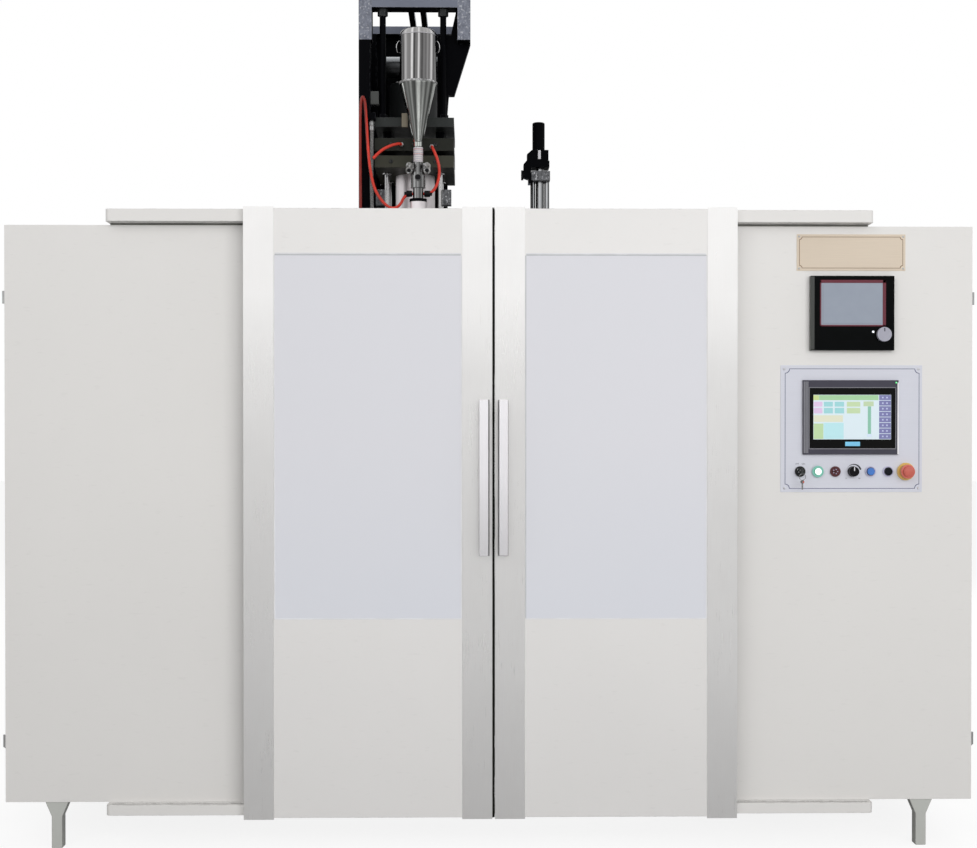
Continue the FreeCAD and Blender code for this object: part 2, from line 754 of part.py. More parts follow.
def door_leaf(x0, x1):
    """Painted tray with a window opening, a ledge behind the window and its hangers."""
    leaf = tray(x0 + SHEET, x1 - SHEET, SHEET, LEAF_BACK, DOOR_BOTTOM_Z, DOOR_TOP_Z, LEAF_SKIN, SHEET)
    w0, w1 = window_span(x0, x1)
    seat = block(w0, w1, 0, SHEET + WINDOW_THICKNESS, WINDOW_BOTTOM_Z, WINDOW_TOP_Z)
    view = block(w0 + WINDOW_LEDGE, w1 - WINDOW_LEDGE, 0, LEAF_BACK,
                 WINDOW_BOTTOM_Z + WINDOW_LEDGE, WINDOW_TOP_Z - WINDOW_LEDGE)
    return join([cut(leaf, [seat, view])] + door_hangers(x0, x1))


def door_window(x0, x1):
    w0, w1 = window_span(x0, x1)
    return block(w0 + WINDOW_FIT, w1 - WINDOW_FIT, SHEET, SHEET + WINDOW_THICKNESS,
                 WINDOW_BOTTOM_Z + WINDOW_FIT, WINDOW_TOP_Z - WINDOW_FIT)


def stile(outer_x, inner_x):
    """Channel folded round one upright edge of a leaf. outer_x is the leaf's edge."""
    low = DOOR_BOTTOM_Z - STILE_OVERHANG
    high = DOOR_TOP_Z + STILE_OVERHANG
    side = math.copysign(1.0, inner_x - outer_x)
    x0 = min(outer_x, outer_x + side * SHEET)
    return_end = outer_x + side * STILE_RETURN
    front = block(min(outer_x, inner_x), max(outer_x, inner_x), 0, SHEET, low, high)
    edge = block(x0, x0 + SHEET, 0, LEAF_BACK + SHEET, low, high)
    back = block(min(outer_x, return_end), max(outer_x, return_end), LEAF_BACK, LEAF_BACK + SHEET, low, high)
    return join([front, edge, back])


def door_stiles(x0, x1):
    return group([stile(x0, x0 + STILE_WIDTH), stile(x1, x1 - STILE_WIDTH)])


def door_handle(centre_x):
    """Flat upright bar on two round posts."""
    half = HANDLE_WIDTH / 2
    back = HANDLE_THICKNESS - HANDLE_PROJECTION
    grip = block(centre_x - half, centre_x + half, -HANDLE_PROJECTION, back, HANDLE_BOTTOM_Z, HANDLE_TOP_Z)
    posts = [bar_y(HANDLE_POST_R, back, 0, centre_x, z)
             for z in (HANDLE_BOTTOM_Z + HANDLE_POST_INSET, HANDLE_TOP_Z - HANDLE_POST_INSET)]
    return join([grip] + posts)


def rail(z0, z1, slot_z):
    """Box rail with rounded front corners and a slot along its bottom or its top."""
    outer = block(-RAIL_HALF_LENGTH, RAIL_HALF_LENGTH, RAIL_FRONT, RAIL_FRONT + RAIL_DEPTH, z0, z1)
    upright = [e for e in outer.Edges
               if abs(e.Vertexes[0].Point.z - e.Vertexes[1].Point.z) > RAIL_WALL
               and e.Vertexes[0].Point.y < behind(RAIL_FRONT + RAIL_WALL)]
    outer = outer.makeFillet(RAIL_END_R, upright)
    inside = block(RAIL_END_R - RAIL_HALF_LENGTH, RAIL_HALF_LENGTH - RAIL_END_R, RAIL_FRONT + RAIL_WALL,
                   RAIL_FRONT + RAIL_DEPTH - RAIL_WALL, z0 + RAIL_WALL, z1 - RAIL_WALL)
    slot = block(RAIL_END_R - RAIL_HALF_LENGTH, RAIL_HALF_LENGTH - RAIL_END_R, RAIL_SLOT_FRONT,
                 RAIL_SLOT_FRONT + RAIL_SLOT_WIDTH, slot_z, slot_z + RAIL_WALL)
    return cut(outer, [inside, slot])


def door_rails():
    top = rail(TOP_RAIL_BOTTOM_Z, TOP_RAIL_BOTTOM_Z + TOP_RAIL_H, TOP_RAIL_BOTTOM_Z)
    feet = []
    front = FRONT_PANEL_FACE + SHEET
    for x in RAIL_FOOT_X:
        for side in (-1, 1):
            feet.append(block(side * x - RAIL_FOOT_W / 2, side * x + RAIL_FOOT_W / 2, front,
                              RAIL_FRONT + RAIL_DEPTH, CABINET_TOP_Z, TOP_RAIL_BOTTOM_Z))
    bottom = rail(CABINET_BOTTOM_Z - BOTTOM_RAIL_H, CABINET_BOTTOM_Z, CABINET_BOTTOM_Z - RAIL_WALL)
    return group([join([top] + feet), bottom])


# ---------------------------------------------------------------- base

POST_OUTER_X = CABINET_INNER_X
POST_INNER_X = CABINET_INNER_X - POST
POST_DEPTHS = (FRONT_POST, MIDDLE_POST, MACHINE_BACK - POST)
TABLE_BOTTOM_Z = TABLE_TOP_Z - TABLE_BEAM_H
BRIDGE_BOTTOM_Z = BRIDGE_TOP_Z - BRIDGE_H
SHUTTLE_RAIL_DEPTHS = (FRONT_POST + POST / 2, REAR_RAIL_BEAM + POST / 2)
CARRIAGE_LUG_X = DIE_X + CARRIAGE_HALF_W - SHUTTLE_LUG_INSET
SHUTTLE_CYL_RIGHT_X = CARRIAGE_LUG_X - SHUTTLE_LUG_T - SHUTTLE_CYL_CAP
BEARER_XS = (SHUTTLE_CYL_LEFT_X + SHUTTLE_FOOT_LENGTH, SHUTTLE_CYL_RIGHT_X - SHUTTLE_FOOT_LENGTH)


def base_frame():
    """Welded frame: six posts, three levels of beams, bearers under the head and blow unit, and a rear deck.

    Each bar is a piece of its own that butts against the next.
    """
    bars = []
    back = MACHINE_BACK
    for depth in POST_DEPTHS:
        for x in (-POST_OUTER_X, POST_INNER_X):
            bars.append(block(x, x + POST, depth, depth + POST, POST_BOTTOM_Z, BRIDGE_TOP_Z))
    levels = ((SILL_Z, SILL_Z + SILL_H), (TABLE_BOTTOM_Z, TABLE_TOP_Z), (BRIDGE_BOTTOM_Z, BRIDGE_TOP_Z))
    for z0, z1 in levels:
        for depth in POST_DEPTHS:
            bars.append(block(-POST_INNER_X, POST_INNER_X, depth, depth + POST, z0, z1))
        for x in (-POST_OUTER_X, POST_INNER_X):
            for near, far in zip(POST_DEPTHS, POST_DEPTHS[1:]):
                bars.append(block(x, x + POST, near + POST, far, z0, z1))
    bars.append(block(-POST_INNER_X, POST_INNER_X, REAR_RAIL_BEAM, REAR_RAIL_BEAM + POST,
                      TABLE_BOTTOM_Z, TABLE_TOP_Z))
    for x in BEARER_XS:
        bars.append(block(x - CYLINDER_BEARER_W / 2, x + CYLINDER_BEARER_W / 2, FRONT_POST,
                          REAR_RAIL_BEAM + POST, TABLE_BOTTOM_Z - CYLINDER_BEARER_H, TABLE_BOTTOM_Z))
    half = HEAD_BEARER_W / 2
    behind_bridge = FRONT_POST + POST
    for x in (HEAD_LEFT_X + half, HEAD_RIGHT_X - half):
        for near, far in ((HEAD_FRONT, FRONT_POST), (behind_bridge, MIDDLE_POST)):
            bars.append(block(x - half, x + half, near, far, BRIDGE_BOTTOM_Z, BRIDGE_TOP_Z))
    for x in (BLOW_X - BLOW_BEARER_X, BLOW_X + BLOW_BEARER_X):
        bars.append(block(x - half, x + half, behind_bridge, MIDDLE_POST, BRIDGE_BOTTOM_Z, BRIDGE_TOP_Z))
    bars.append(block(-POST_OUTER_X, POST_OUTER_X, MIDDLE_POST, back, BRIDGE_TOP_Z, BRIDGE_TOP_Z + DECK_T))
    return group(bars)


def levelling_feet():
    """A pad, a nut and a stud under each post."""
    shapes = []
    for depth in POST_DEPTHS:
        for side in (-1, 1):
            x = side * (POST_OUTER_X - POST / 2)
            centre = depth + POST / 2
            shapes.append(join([bar_z(FOOT_PAD_R, 0, FOOT_PAD_H, x, centre),
                                bar_z(FOOT_STUD_R, 0, POST_BOTTOM_Z, x, centre),
                                hexagon(FOOT_NUT_R, POST_BOTTOM_Z - FOOT_NUT_H, POST_BOTTOM_Z, x, centre)]))
    return group(shapes)


# ---------------------------------------------------------------- head frame

PLATE_TOPS_Z = tuple(HEAD_TOP_Z - drop for drop in PLATE_DROPS)
PLATE_BOTTOMS_Z = tuple(top - thickness for top, thickness in zip(PLATE_TOPS_Z, PLATE_THICKNESSES))
TOP_BEAM_BOTTOM_Z = HEAD_TOP_Z - TOP_BEAM_H
REAR_BEAM_FRONT = HEAD_BACK - TOP_BEAM_DEPTH


def head_frame():
    """Open frame over the die station: left columns, top beams, flame-cut gussets and a right bracket."""
    column_right = HEAD_LEFT_X + HEAD_COLUMN_W
    gusset_right = HEAD_LEFT_X + GUSSET_W
    shapes = []
    for depth in (HEAD_FRONT, REAR_BEAM_FRONT):
        shapes.append(block(HEAD_LEFT_X, column_right, depth, depth + TOP_BEAM_DEPTH,
                            BRIDGE_TOP_Z, TOP_BEAM_BOTTOM_Z))
        shapes.append(block(HEAD_LEFT_X, HEAD_RIGHT_X, depth, depth + TOP_BEAM_DEPTH,
                            TOP_BEAM_BOTTOM_Z, HEAD_TOP_Z))
    shapes.append(block(HEAD_LEFT_X, gusset_right, HEAD_FRONT, HEAD_FRONT + TOP_BEAM_DEPTH,
                        GUSSET_BOTTOM_Z, TOP_BEAM_BOTTOM_Z))
    shapes.append(block(HEAD_RIGHT_X - GUSSET_W, HEAD_RIGHT_X, HEAD_FRONT, BRACKET_DEPTH,
                        GUSSET_BOTTOM_Z, TOP_BEAM_BOTTOM_Z))
    shapes.append(block(HEAD_RIGHT_X - GUSSET_W, HEAD_RIGHT_X, HEAD_FRONT + TOP_BEAM_DEPTH, REAR_BEAM_FRONT,
                        TOP_BEAM_BOTTOM_Z, HEAD_TOP_Z))
    shapes.append(block(HEAD_LEFT_X, HEAD_LEFT_X + HEAD_WEB_T, HEAD_FRONT, HEAD_BACK,
                        PLATE_TOPS_Z[0], TOP_BEAM_BOTTOM_Z))
    shapes.append(block(HEAD_LEFT_X, REAR_WEB_RIGHT_X, HEAD_BACK - HEAD_WEB_T, HEAD_BACK,
                        PLATE_TOPS_Z[0], TOP_BEAM_BOTTOM_Z))
    neck_outer, neck_inner = BRACKET_NECK_X
    foot_outer, foot_inner = BRACKET_FOOT_X
    edge_top, edge_bottom = BRACKET_EDGE_X
    outline = [(foot_inner, BRACKET_EDGE_Z), (edge_bottom, BRACKET_EDGE_Z),
               (edge_top, TOP_BEAM_BOTTOM_Z), (HEAD_RIGHT_X, TOP_BEAM_BOTTOM_Z),
               (HEAD_RIGHT_X, GUSSET_BOTTOM_Z), (neck_outer, BRACKET_NECK_Z), (neck_inner, BRACKET_NECK_Z),
               (foot_outer, PLATE_TOPS_Z[0]), (foot_inner, PLATE_TOPS_Z[0])]
    bracket = polygon_face([V(x, behind(BRACKET_DEPTH), z) for x, z in outline])
    shapes.append(bracket.extrude(V(0, BRACKET_PLATE_T, 0)))
    left, right = GLAND_BLOCK_X
    front = HEAD_FRONT - GLAND_BLOCK_DEPTH
    shapes.append(block(left, right, front, HEAD_FRONT, BRIDGE_TOP_Z, BRIDGE_TOP_Z + GLAND_BLOCK_H))
    gland_z = HEAD_TOP_Z - CONDUIT_GLAND_DROP
    shapes.append(block(CONDUIT_GLAND_X, right, front, HEAD_FRONT, gland_z, gland_z + CONDUIT_GLAND_H))
    for x in Y_BAR_X:
        shapes.append(block(x - Y_BAR_W / 2, x + Y_BAR_W / 2, HEAD_FRONT + TOP_BEAM_DEPTH, REAR_BEAM_FRONT,
                            HEAD_TOP_Z - Y_BAR_H, HEAD_TOP_Z))
    return join(shapes)


def head_plates():
    """Three thick plates, bored for the mandrel rod and the four tie rods."""
    shapes = []
    for top, bottom in zip(PLATE_TOPS_Z, PLATE_BOTTOMS_Z):
        plate = block(PLATE_LEFT_X, PLATE_RIGHT_X, PLATE_FRONT, PLATE_BACK, bottom, top)
        holes = [bar_z(MANDREL_PLATE_HOLE_R, bottom, top, DIE_X, STATION_DEPTH)]
        for x in TIE_ROD_X:
            for depth in TIE_ROD_DEPTHS:
                holes.append(bar_z(TIE_ROD_R + RUNNING_FIT, bottom, top, x, depth))
        shapes.append(cut(plate, holes))
    return group(shapes)


def head_bolts():
    """Two jack bolts under the front beam, and four tie rods with collars. The front two carry clamp blocks."""
    shapes = []
    clamp_z = HEAD_TOP_Z - ROD_CLAMP_DROP
    start, reach = ROD_CLAMP_REACH
    for x in JACK_X:
        shank = bar_z(JACK_BOLT_R, PLATE_TOPS_Z[0], TOP_BEAM_BOTTOM_Z - JACK_HEAD_H, x, JACK_DEPTH)
        head = hexagon(JACK_HEAD_R, TOP_BEAM_BOTTOM_Z - JACK_HEAD_H, TOP_BEAM_BOTTOM_Z, x, JACK_DEPTH)
        nut = hexagon(JACK_HEAD_R, PLATE_TOPS_Z[0], PLATE_TOPS_Z[0] + JACK_NUT_H, x, JACK_DEPTH)
        shapes.append(join([shank, head, nut]))
    for x in TIE_ROD_X:
        for depth in TIE_ROD_DEPTHS:
            rod = bar_z(TIE_ROD_R, BRIDGE_TOP_Z, PLATE_TOPS_Z[0], x, depth)
            spacers = [bar_z(TIE_COLLAR_R, low, high, x, depth)
                       for low, high in ((PLATE_TOPS_Z[1], PLATE_BOTTOMS_Z[0]),
                                         (PLATE_TOPS_Z[2], PLATE_BOTTOMS_Z[1]))]
            collar = bar_z(TIE_COLLAR_R, PLATE_BOTTOMS_Z[2] - TIE_COLLAR_H, PLATE_BOTTOMS_Z[2], x, depth)
            pieces = [rod, collar] + spacers
            if depth == TIE_ROD_DEPTHS[0]:
                side = math.copysign(1.0, x - DIE_X)
                edges = sorted((x + side * start, x + side * reach))
                pieces.append(block(*edges, depth - ROD_CLAMP_HALF_D, depth + ROD_CLAMP_HALF_D,
                                    clamp_z - ROD_CLAMP_H, clamp_z))
            shapes.append(join(pieces))
    return group(shapes)


def die_head():
    """Stepped body under the lowest plate, bored for the mandrel, with a melt inlet at the back."""
    body = join([
        bar_z(DIE_BODY_R, DIE_BODY_BOTTOM_Z, PLATE_BOTTOMS_Z[2], DIE_X, STATION_DEPTH),
        bar_z(DIE_NECK_R, DIE_NECK_BOTTOM_Z, DIE_BODY_BOTTOM_Z, DIE_X, STATION_DEPTH),
        bar_z(DIE_LIP_R, DIE_LIP_Z, DIE_NECK_BOTTOM_Z, DIE_X, STATION_DEPTH),
        block(DIE_X - ADAPTER_HALF, DIE_X + ADAPTER_HALF, STATION_DEPTH, BARREL_FRONT,
              BARREL_Z - ADAPTER_HALF, BARREL_Z + ADAPTER_HALF)])
    rod_bore = bar_z(MANDREL_ROD_R + RUNNING_FIT, DIE_LIP_Z, PLATE_BOTTOMS_Z[2], DIE_X, STATION_DEPTH)
    lip_bore = bar_z(DIE_BORE_R, DIE_LIP_Z, DIE_BORE_TOP_Z, DIE_X, STATION_DEPTH)
    inlet = bar_y(MELT_BORE_R, STATION_DEPTH + DIE_BORE_R, BARREL_FRONT, DIE_X, BARREL_Z)
    return cut(body, [rod_bore, lip_bore, inlet])


SERVO_BOTTOM_Z = PLATE_TOPS_Z[0]
SERVO_CAP_TOP_Z = SERVO_BOTTOM_Z + SERVO_H + SERVO_CAP_H
MANDREL_TOP_Z = SERVO_BOTTOM_Z + MANDREL_INTO_SERVO


def parison_rod():
    """Mandrel tip in the die lip, on a long rod up into the servo cylinder."""
    tip = bar_z(MANDREL_TIP_R, DIE_LIP_Z, DIE_BORE_TOP_Z - MANDREL_LIFT - PANEL_GAP, DIE_X, STATION_DEPTH)
    rod = bar_z(MANDREL_ROD_R, DIE_LIP_Z, MANDREL_TOP_Z, DIE_X, STATION_DEPTH)
    return join([tip, rod])


def parison_cylinder():
    """Upright servo cylinder on the top plate, with a horizontal motor over it."""
    body = bar_z(SERVO_R, SERVO_BOTTOM_Z, SERVO_BOTTOM_Z + SERVO_H, DIE_X, STATION_DEPTH)
    cap = bar_z(SERVO_CAP_R, SERVO_BOTTOM_Z, SERVO_CAP_TOP_Z, DIE_X, STATION_DEPTH)
    motor = bar_x(SERVO_MOTOR_R, DIE_X - SERVO_MOTOR_HALF_LENGTH, DIE_X + SERVO_MOTOR_HALF_LENGTH,
                  STATION_DEPTH, SERVO_CAP_TOP_Z + SERVO_MOTOR_R - PANEL_GAP)
    bore = bar_z(MANDREL_ROD_R + RUNNING_FIT, SERVO_BOTTOM_Z, MANDREL_TOP_Z + MANDREL_LIFT + PANEL_GAP,
                 DIE_X, STATION_DEPTH)
    return cut(join([body, cap, motor]), [bore])


# ---------------------------------------------------------------- stripe feeder

HOPPER_SHOULDER_Z = HOPPER_TOP_Z - HOPPER_BODY_H
HOPPER_SPOUT_Z = HOPPER_SHOULDER_Z - HOPPER_CONE_H
FEED_BODY_TOP_Z = HOPPER_SPOUT_Z - FEED_TUBE_H
FEED_WAIST_TOP_Z = FEED_BODY_TOP_Z - FEED_BODY_H
FEED_WAIST_BOTTOM_Z = FEED_WAIST_TOP_Z - FEED_WAIST_H
FEED_BARREL_BOTTOM_Z = BARREL_Z - ADAPTER_HALF


def stripe_hopper():
    """Thin polished hopper: a cylinder over a long cone, closed by its rounded lid."""
    outside = [(0, HOPPER_TOP_Z), (HOPPER_R, HOPPER_TOP_Z), (HOPPER_R, HOPPER_SHOULDER_Z + HOPPER_LIP_H),
               (HOPPER_LIP_R, HOPPER_SHOULDER_Z + HOPPER_LIP_H), (HOPPER_LIP_R, HOPPER_SHOULDER_Z),
               (HOPPER_R, HOPPER_SHOULDER_Z), (HOPPER_SPOUT_R, HOPPER_SPOUT_Z), (0, HOPPER_SPOUT_Z)]
    wall = HOPPER_WALL
    inside = [(0, HOPPER_TOP_Z - wall), (HOPPER_R - wall, HOPPER_TOP_Z - wall),
              (HOPPER_R - wall, HOPPER_SHOULDER_Z), (HOPPER_SPOUT_R - wall, HOPPER_SPOUT_Z),
              (0, HOPPER_SPOUT_Z)]

    def lid_rounded(shape, top, radius):
        rim = [e for e in shape.Edges if all(abs(v.Point.z - top) < wall / 2 for v in e.Vertexes)
               and hasattr(e.Curve, "Radius")]
        return shape.makeFillet(radius, rim)

    shell = lid_rounded(turned(outside, FEEDER_X, FEEDER_DEPTH), HOPPER_TOP_Z, HOPPER_ROUND_R)
    space = lid_rounded(turned(inside, FEEDER_X, FEEDER_DEPTH), HOPPER_TOP_Z - wall, HOPPER_ROUND_R - wall)
    return shell.cut(space)


def stripe_feeder():
    """Feed tube, its clamp yoke with two knobs, the turned feed body and the arm to the die head's front."""
    yoke_z = FEED_BODY_TOP_Z + YOKE_RISE
    profile = [(0, HOPPER_SPOUT_Z), (FEED_TUBE_R, HOPPER_SPOUT_Z),
               (FEED_TUBE_R, FEED_BODY_TOP_Z), (FEED_BODY_R, FEED_BODY_TOP_Z), (FEED_BODY_R, FEED_WAIST_TOP_Z),
               (FEED_WAIST_R, FEED_WAIST_TOP_Z), (FEED_WAIST_R, FEED_WAIST_BOTTOM_Z),
               (FEED_FLANGE_R, FEED_WAIST_BOTTOM_Z), (FEED_FLANGE_R, FEED_WAIST_BOTTOM_Z - FEED_FLANGE_H),
               (FEED_BARREL_R, FEED_WAIST_BOTTOM_Z - FEED_FLANGE_H),
               (FEED_BARREL_R, FEED_BARREL_BOTTOM_Z), (0, FEED_BARREL_BOTTOM_Z)]
    body = turned(profile, FEEDER_X, FEEDER_DEPTH)
    arm = block(FEEDER_X - FEED_ARM_HALF_W, FEEDER_X + FEED_ARM_HALF_W, FEEDER_DEPTH, STATION_DEPTH,
                FEED_BARREL_BOTTOM_Z, FEED_BARREL_BOTTOM_Z + FEED_ARM_H)
    die = bar_z(DIE_BODY_R, FEED_BARREL_BOTTOM_Z, FEED_BARREL_BOTTOM_Z + FEED_ARM_H, DIE_X, STATION_DEPTH)
    yoke = block(FEEDER_X - YOKE_HALF_W, FEEDER_X + YOKE_HALF_W, FEEDER_DEPTH, FEEDER_DEPTH + YOKE_T,
                 yoke_z, yoke_z + YOKE_H)
    yoke = yoke.makeFillet(YOKE_ROUND_R, [e for e in yoke.Edges
                                          if abs(e.Vertexes[0].Point.y - e.Vertexes[1].Point.y) > YOKE_T / 2])
    knobs = [bar_y(YOKE_KNOB_R, FEEDER_DEPTH - YOKE_KNOB_REACH, FEEDER_DEPTH + YOKE_T / 2,
                   FEEDER_X + side * YOKE_KNOB_X, yoke_z + YOKE_H / 2) for side in (-1, 1)]
    port_front = FEEDER_DEPTH - FEED_BODY_R - FEED_PORT_REACH
    port_z = FEED_BODY_TOP_Z - FEED_PORT_DROP
    port = bar_y(FEED_PORT_R, port_front, FEEDER_DEPTH, FEEDER_X, port_z)
    port_bore = bar_y(FEED_PORT_BORE_R, port_front, FEEDER_DEPTH - FEED_TUBE_BORE_R, FEEDER_X, port_z)
    bore = bar_z(FEED_TUBE_BORE_R, FEED_BODY_TOP_Z, HOPPER_SPOUT_Z, FEEDER_X, FEEDER_DEPTH)
    return cut(join([body, arm, yoke, port] + knobs), [die, bore, port_bore])


# ---------------------------------------------------------------- extruder

THROAT_DEPTH = GEARBOX_FRONT - THROAT_TO_GEARBOX
BAND_PITCH = (THROAT_DEPTH - THROAT_HALF - BAND_THROAT_GAP - BAND_START) / BAND_COUNT
BAND_WIDTH = BAND_PITCH - BAND_GAP
DECK_TOP_Z = BRIDGE_TOP_Z + DECK_T


def extruder_barrel():
    """Bored barrel with a front flange and a feed throat under the hopper."""
    tube = join([bar_y(BARREL_R, BARREL_FRONT, GEARBOX_FRONT, DIE_X, BARREL_Z),
                 bar_y(BARREL_FLANGE_R, BARREL_FRONT, BARREL_FRONT + BARREL_FLANGE_T, DIE_X, BARREL_Z),
                 bar_y(BARREL_FLANGE_R, GEARBOX_FRONT - BARREL_FLANGE_T, GEARBOX_FRONT, DIE_X, BARREL_Z),
                 block(DIE_X - THROAT_HALF, DIE_X + THROAT_HALF, THROAT_DEPTH - THROAT_HALF,
                       THROAT_DEPTH + THROAT_HALF, BARREL_Z - THROAT_HALF, THROAT_TOP_Z)])
    bore = bar_y(BARREL_BORE_R, BARREL_FRONT, GEARBOX_FRONT, DIE_X, BARREL_Z)
    throat = bar_z(THROAT_BORE_R, BARREL_Z, THROAT_TOP_Z, DIE_X, THROAT_DEPTH)
    return cut(tube, [bore, throat])


def extruder_screw():
    """Tapered screw core with its drive shank in the gearbox."""
    tip = BARREL_FRONT + BARREL_FLANGE_T
    core = Part.makeCone(SCREW_TIP_R, SCREW_SHANK_R, GEARBOX_FRONT - tip, V(DIE_X, behind(tip), BARREL_Z),
                         V(0, 1, 0))
    land = bar_y(BARREL_BORE_R - SCREW_FIT, GEARBOX_FRONT - SCREW_LAND, GEARBOX_FRONT, DIE_X, BARREL_Z)
    shank = bar_y(SCREW_SHANK_R, GEARBOX_FRONT, GEARBOX_FRONT + SCREW_SHANK_INTO_GEARBOX, DIE_X, BARREL_Z)
    return join([core, land, shank])


def heater_bands():
    """Clamped bands round the barrel, each with its clamp lugs below and a terminal box at its right."""
    shapes = []
    for i in range(BAND_COUNT):
        start = BAND_START + BAND_PITCH * i
        end = start + BAND_WIDTH
        middle = (start + end) / 2
        lug_z = BARREL_Z - BAND_R - BAND_LUG_REACH
        lugs = [block(DIE_X + side * BAND_LUG_T - BAND_LUG_T / 2, DIE_X + side * BAND_LUG_T + BAND_LUG_T / 2,
                      start, end, lug_z, BARREL_Z - BAND_R + BAND_LUG_H) for side in (-1, 1)]
        box = block(DIE_X, DIE_X + BAND_R + BAND_BOX_REACH, middle - BAND_BOX_HALF, middle + BAND_BOX_HALF,
                    BARREL_Z - BAND_BOX_HALF, BARREL_Z + BAND_BOX_HALF)
        ring = join([bar_y(BAND_R, start, end, DIE_X, BARREL_Z), box] + lugs)
        shapes.append(cut(ring, [bar_y(BARREL_R + RUNNING_FIT, start, end, DIE_X, BARREL_Z)]))
    return group(shapes)


def gearbox():
    """Cast housing on the deck: foot flange, split flange, side ribs, top cover and breather."""
    reach = GEARBOX_FLANGE_REACH
    left = GEARBOX_LEFT_X
    right = GEARBOX_RIGHT_X
    front = GEARBOX_FRONT
    body = block(left, right, front, GEARBOX_BACK, DECK_TOP_Z, GEARBOX_TOP_Z)
    along = [e for e in body.Edges if abs(e.Vertexes[0].Point.y - e.Vertexes[1].Point.y) > GEARBOX_ROUND
             and e.Vertexes[0].Point.z > MOTOR_Z]
    body = body.makeFillet(GEARBOX_ROUND, along)
    split = block(left - reach, right + reach, front, GEARBOX_BACK + reach,
                  BARREL_Z - GEARBOX_FLANGE_H / 2, BARREL_Z + GEARBOX_FLANGE_H / 2)
    foot = block(left - reach, right + reach, front, GEARBOX_BACK + reach, DECK_TOP_Z,
                 DECK_TOP_Z + GEARBOX_FLANGE_H)
    pitch = (GEARBOX_BACK - front - GEARBOX_RIB_T) / (GEARBOX_RIB_COUNT - 1)
    ribs = [block(left - reach, right + reach, front + pitch * i, front + pitch * i + GEARBOX_RIB_T,
                  DECK_TOP_Z, BARREL_Z) for i in range(GEARBOX_RIB_COUNT)]
    cover = block(left + COVER_MARGIN, right - COVER_MARGIN, front + COVER_MARGIN, GEARBOX_BACK - COVER_MARGIN,
                  MOTOR_Z, GEARBOX_TOP_Z + COVER_T)
    breather = bar_z(BREATHER_R, MOTOR_Z, GEARBOX_TOP_Z + COVER_T + BREATHER_H,
                     right - 2 * COVER_MARGIN, (front + GEARBOX_BACK) / 2)
    bore = bar_y(SCREW_SHANK_R + RUNNING_FIT, front, front + SCREW_SHANK_INTO_GEARBOX + PANEL_GAP,
                 DIE_X, BARREL_Z)
    return cut(join([body, split, foot, cover, breather] + ribs), [bore])


def main_motor():
    """Finned foot motor: cowl, end bells, flange against the gearbox, feet and a terminal box on top."""
    box_x, box_y, box_z = TERMINAL_BOX
    middle = (MOTOR_FRONT + GEARBOX_FRONT) / 2
    cowl_back = MOTOR_FRONT + MOTOR_COWL_L
    fins_front = cowl_back + MOTOR_COWL_GAP
    fins_back = GEARBOX_FRONT - MOTOR_FLANGE_T - MOTOR_BELL_L
    cowl = bar_y(MOTOR_COWL_R, MOTOR_FRONT, cowl_back, MOTOR_X, MOTOR_Z)
    cowl = cowl.makeFillet(MOTOR_COWL_ROUND, [e for e in cowl.Edges
                                              if all(v.Point.y < behind(MOTOR_FRONT + 1) for v in e.Vertexes)])
    fins = ribbed(MOTOR_R, MOTOR_ROOT_R, MOTOR_FIN_COUNT, fins_back - fins_front)
    fins.rotate(V(0, 0, 0), V(1, 0, 0), -90)
    fins.translate(V(MOTOR_X, behind(fins_front), MOTOR_Z))
    return join([bar_y(MOTOR_ROOT_R, MOTOR_FRONT, GEARBOX_FRONT, MOTOR_X, MOTOR_Z), cowl, fins,
                 bar_y(MOTOR_R, fins_back, GEARBOX_FRONT, MOTOR_X, MOTOR_Z),
                 bar_y(MOTOR_FLANGE_R, GEARBOX_FRONT - MOTOR_FLANGE_T, GEARBOX_FRONT, MOTOR_X, MOTOR_Z),
                 block(MOTOR_X - MOTOR_FOOT_HALF_W, MOTOR_X + MOTOR_FOOT_HALF_W, middle - MOTOR_FOOT_HALF_L,
                       middle + MOTOR_FOOT_HALF_L, DECK_TOP_Z, DECK_TOP_Z + MOTOR_FOOT_T),
                 block(MOTOR_X - MOTOR_WEB_HALF_W, MOTOR_X + MOTOR_WEB_HALF_W, middle - MOTOR_FOOT_HALF_L,
                       middle + MOTOR_FOOT_HALF_L, DECK_TOP_Z, MOTOR_Z),
                 block(MOTOR_X - box_x / 2, MOTOR_X + box_x / 2, middle - box_y / 2, middle + box_y / 2,
                       MOTOR_Z, MOTOR_Z + MOTOR_R + box_z)])


def main_hopper():
    """Square sheet hopper: a funnel with an upright rim, open at both ends."""
    def frustum(grow, z0, z1):
        low = MAIN_HOPPER_BOTTOM_HALF + grow
        high = MAIN_HOPPER_TOP_HALF + grow
        wires = []
        for half, z in ((low, z0), (high, z1)):
            corners = [V(DIE_X + sx * half, behind(THROAT_DEPTH) + sy * half, z)
                       for sx, sy in ((-1, -1), (1, -1), (1, 1), (-1, 1))]
            wires.append(Part.makePolygon(corners + [corners[0]]))
        return Part.makeLoft(wires, True, True)

    rim_z = MAIN_HOPPER_TOP_Z - MAIN_HOPPER_RIM_H
    half = MAIN_HOPPER_TOP_HALF
    inner = half - MAIN_HOPPER_WALL
    outside = join([frustum(0, THROAT_TOP_Z, rim_z),
                    block(DIE_X - half, DIE_X + half, THROAT_DEPTH - half, THROAT_DEPTH + half,
                          rim_z, MAIN_HOPPER_TOP_Z)])
    inside = join([frustum(-MAIN_HOPPER_WALL, THROAT_TOP_Z, rim_z),
                   block(DIE_X - inner, DIE_X + inner, THROAT_DEPTH - inner, THROAT_DEPTH + inner,
                         rim_z, MAIN_HOPPER_TOP_Z)])
    return outside.cut(inside)


# ---------------------------------------------------------------- hydraulics

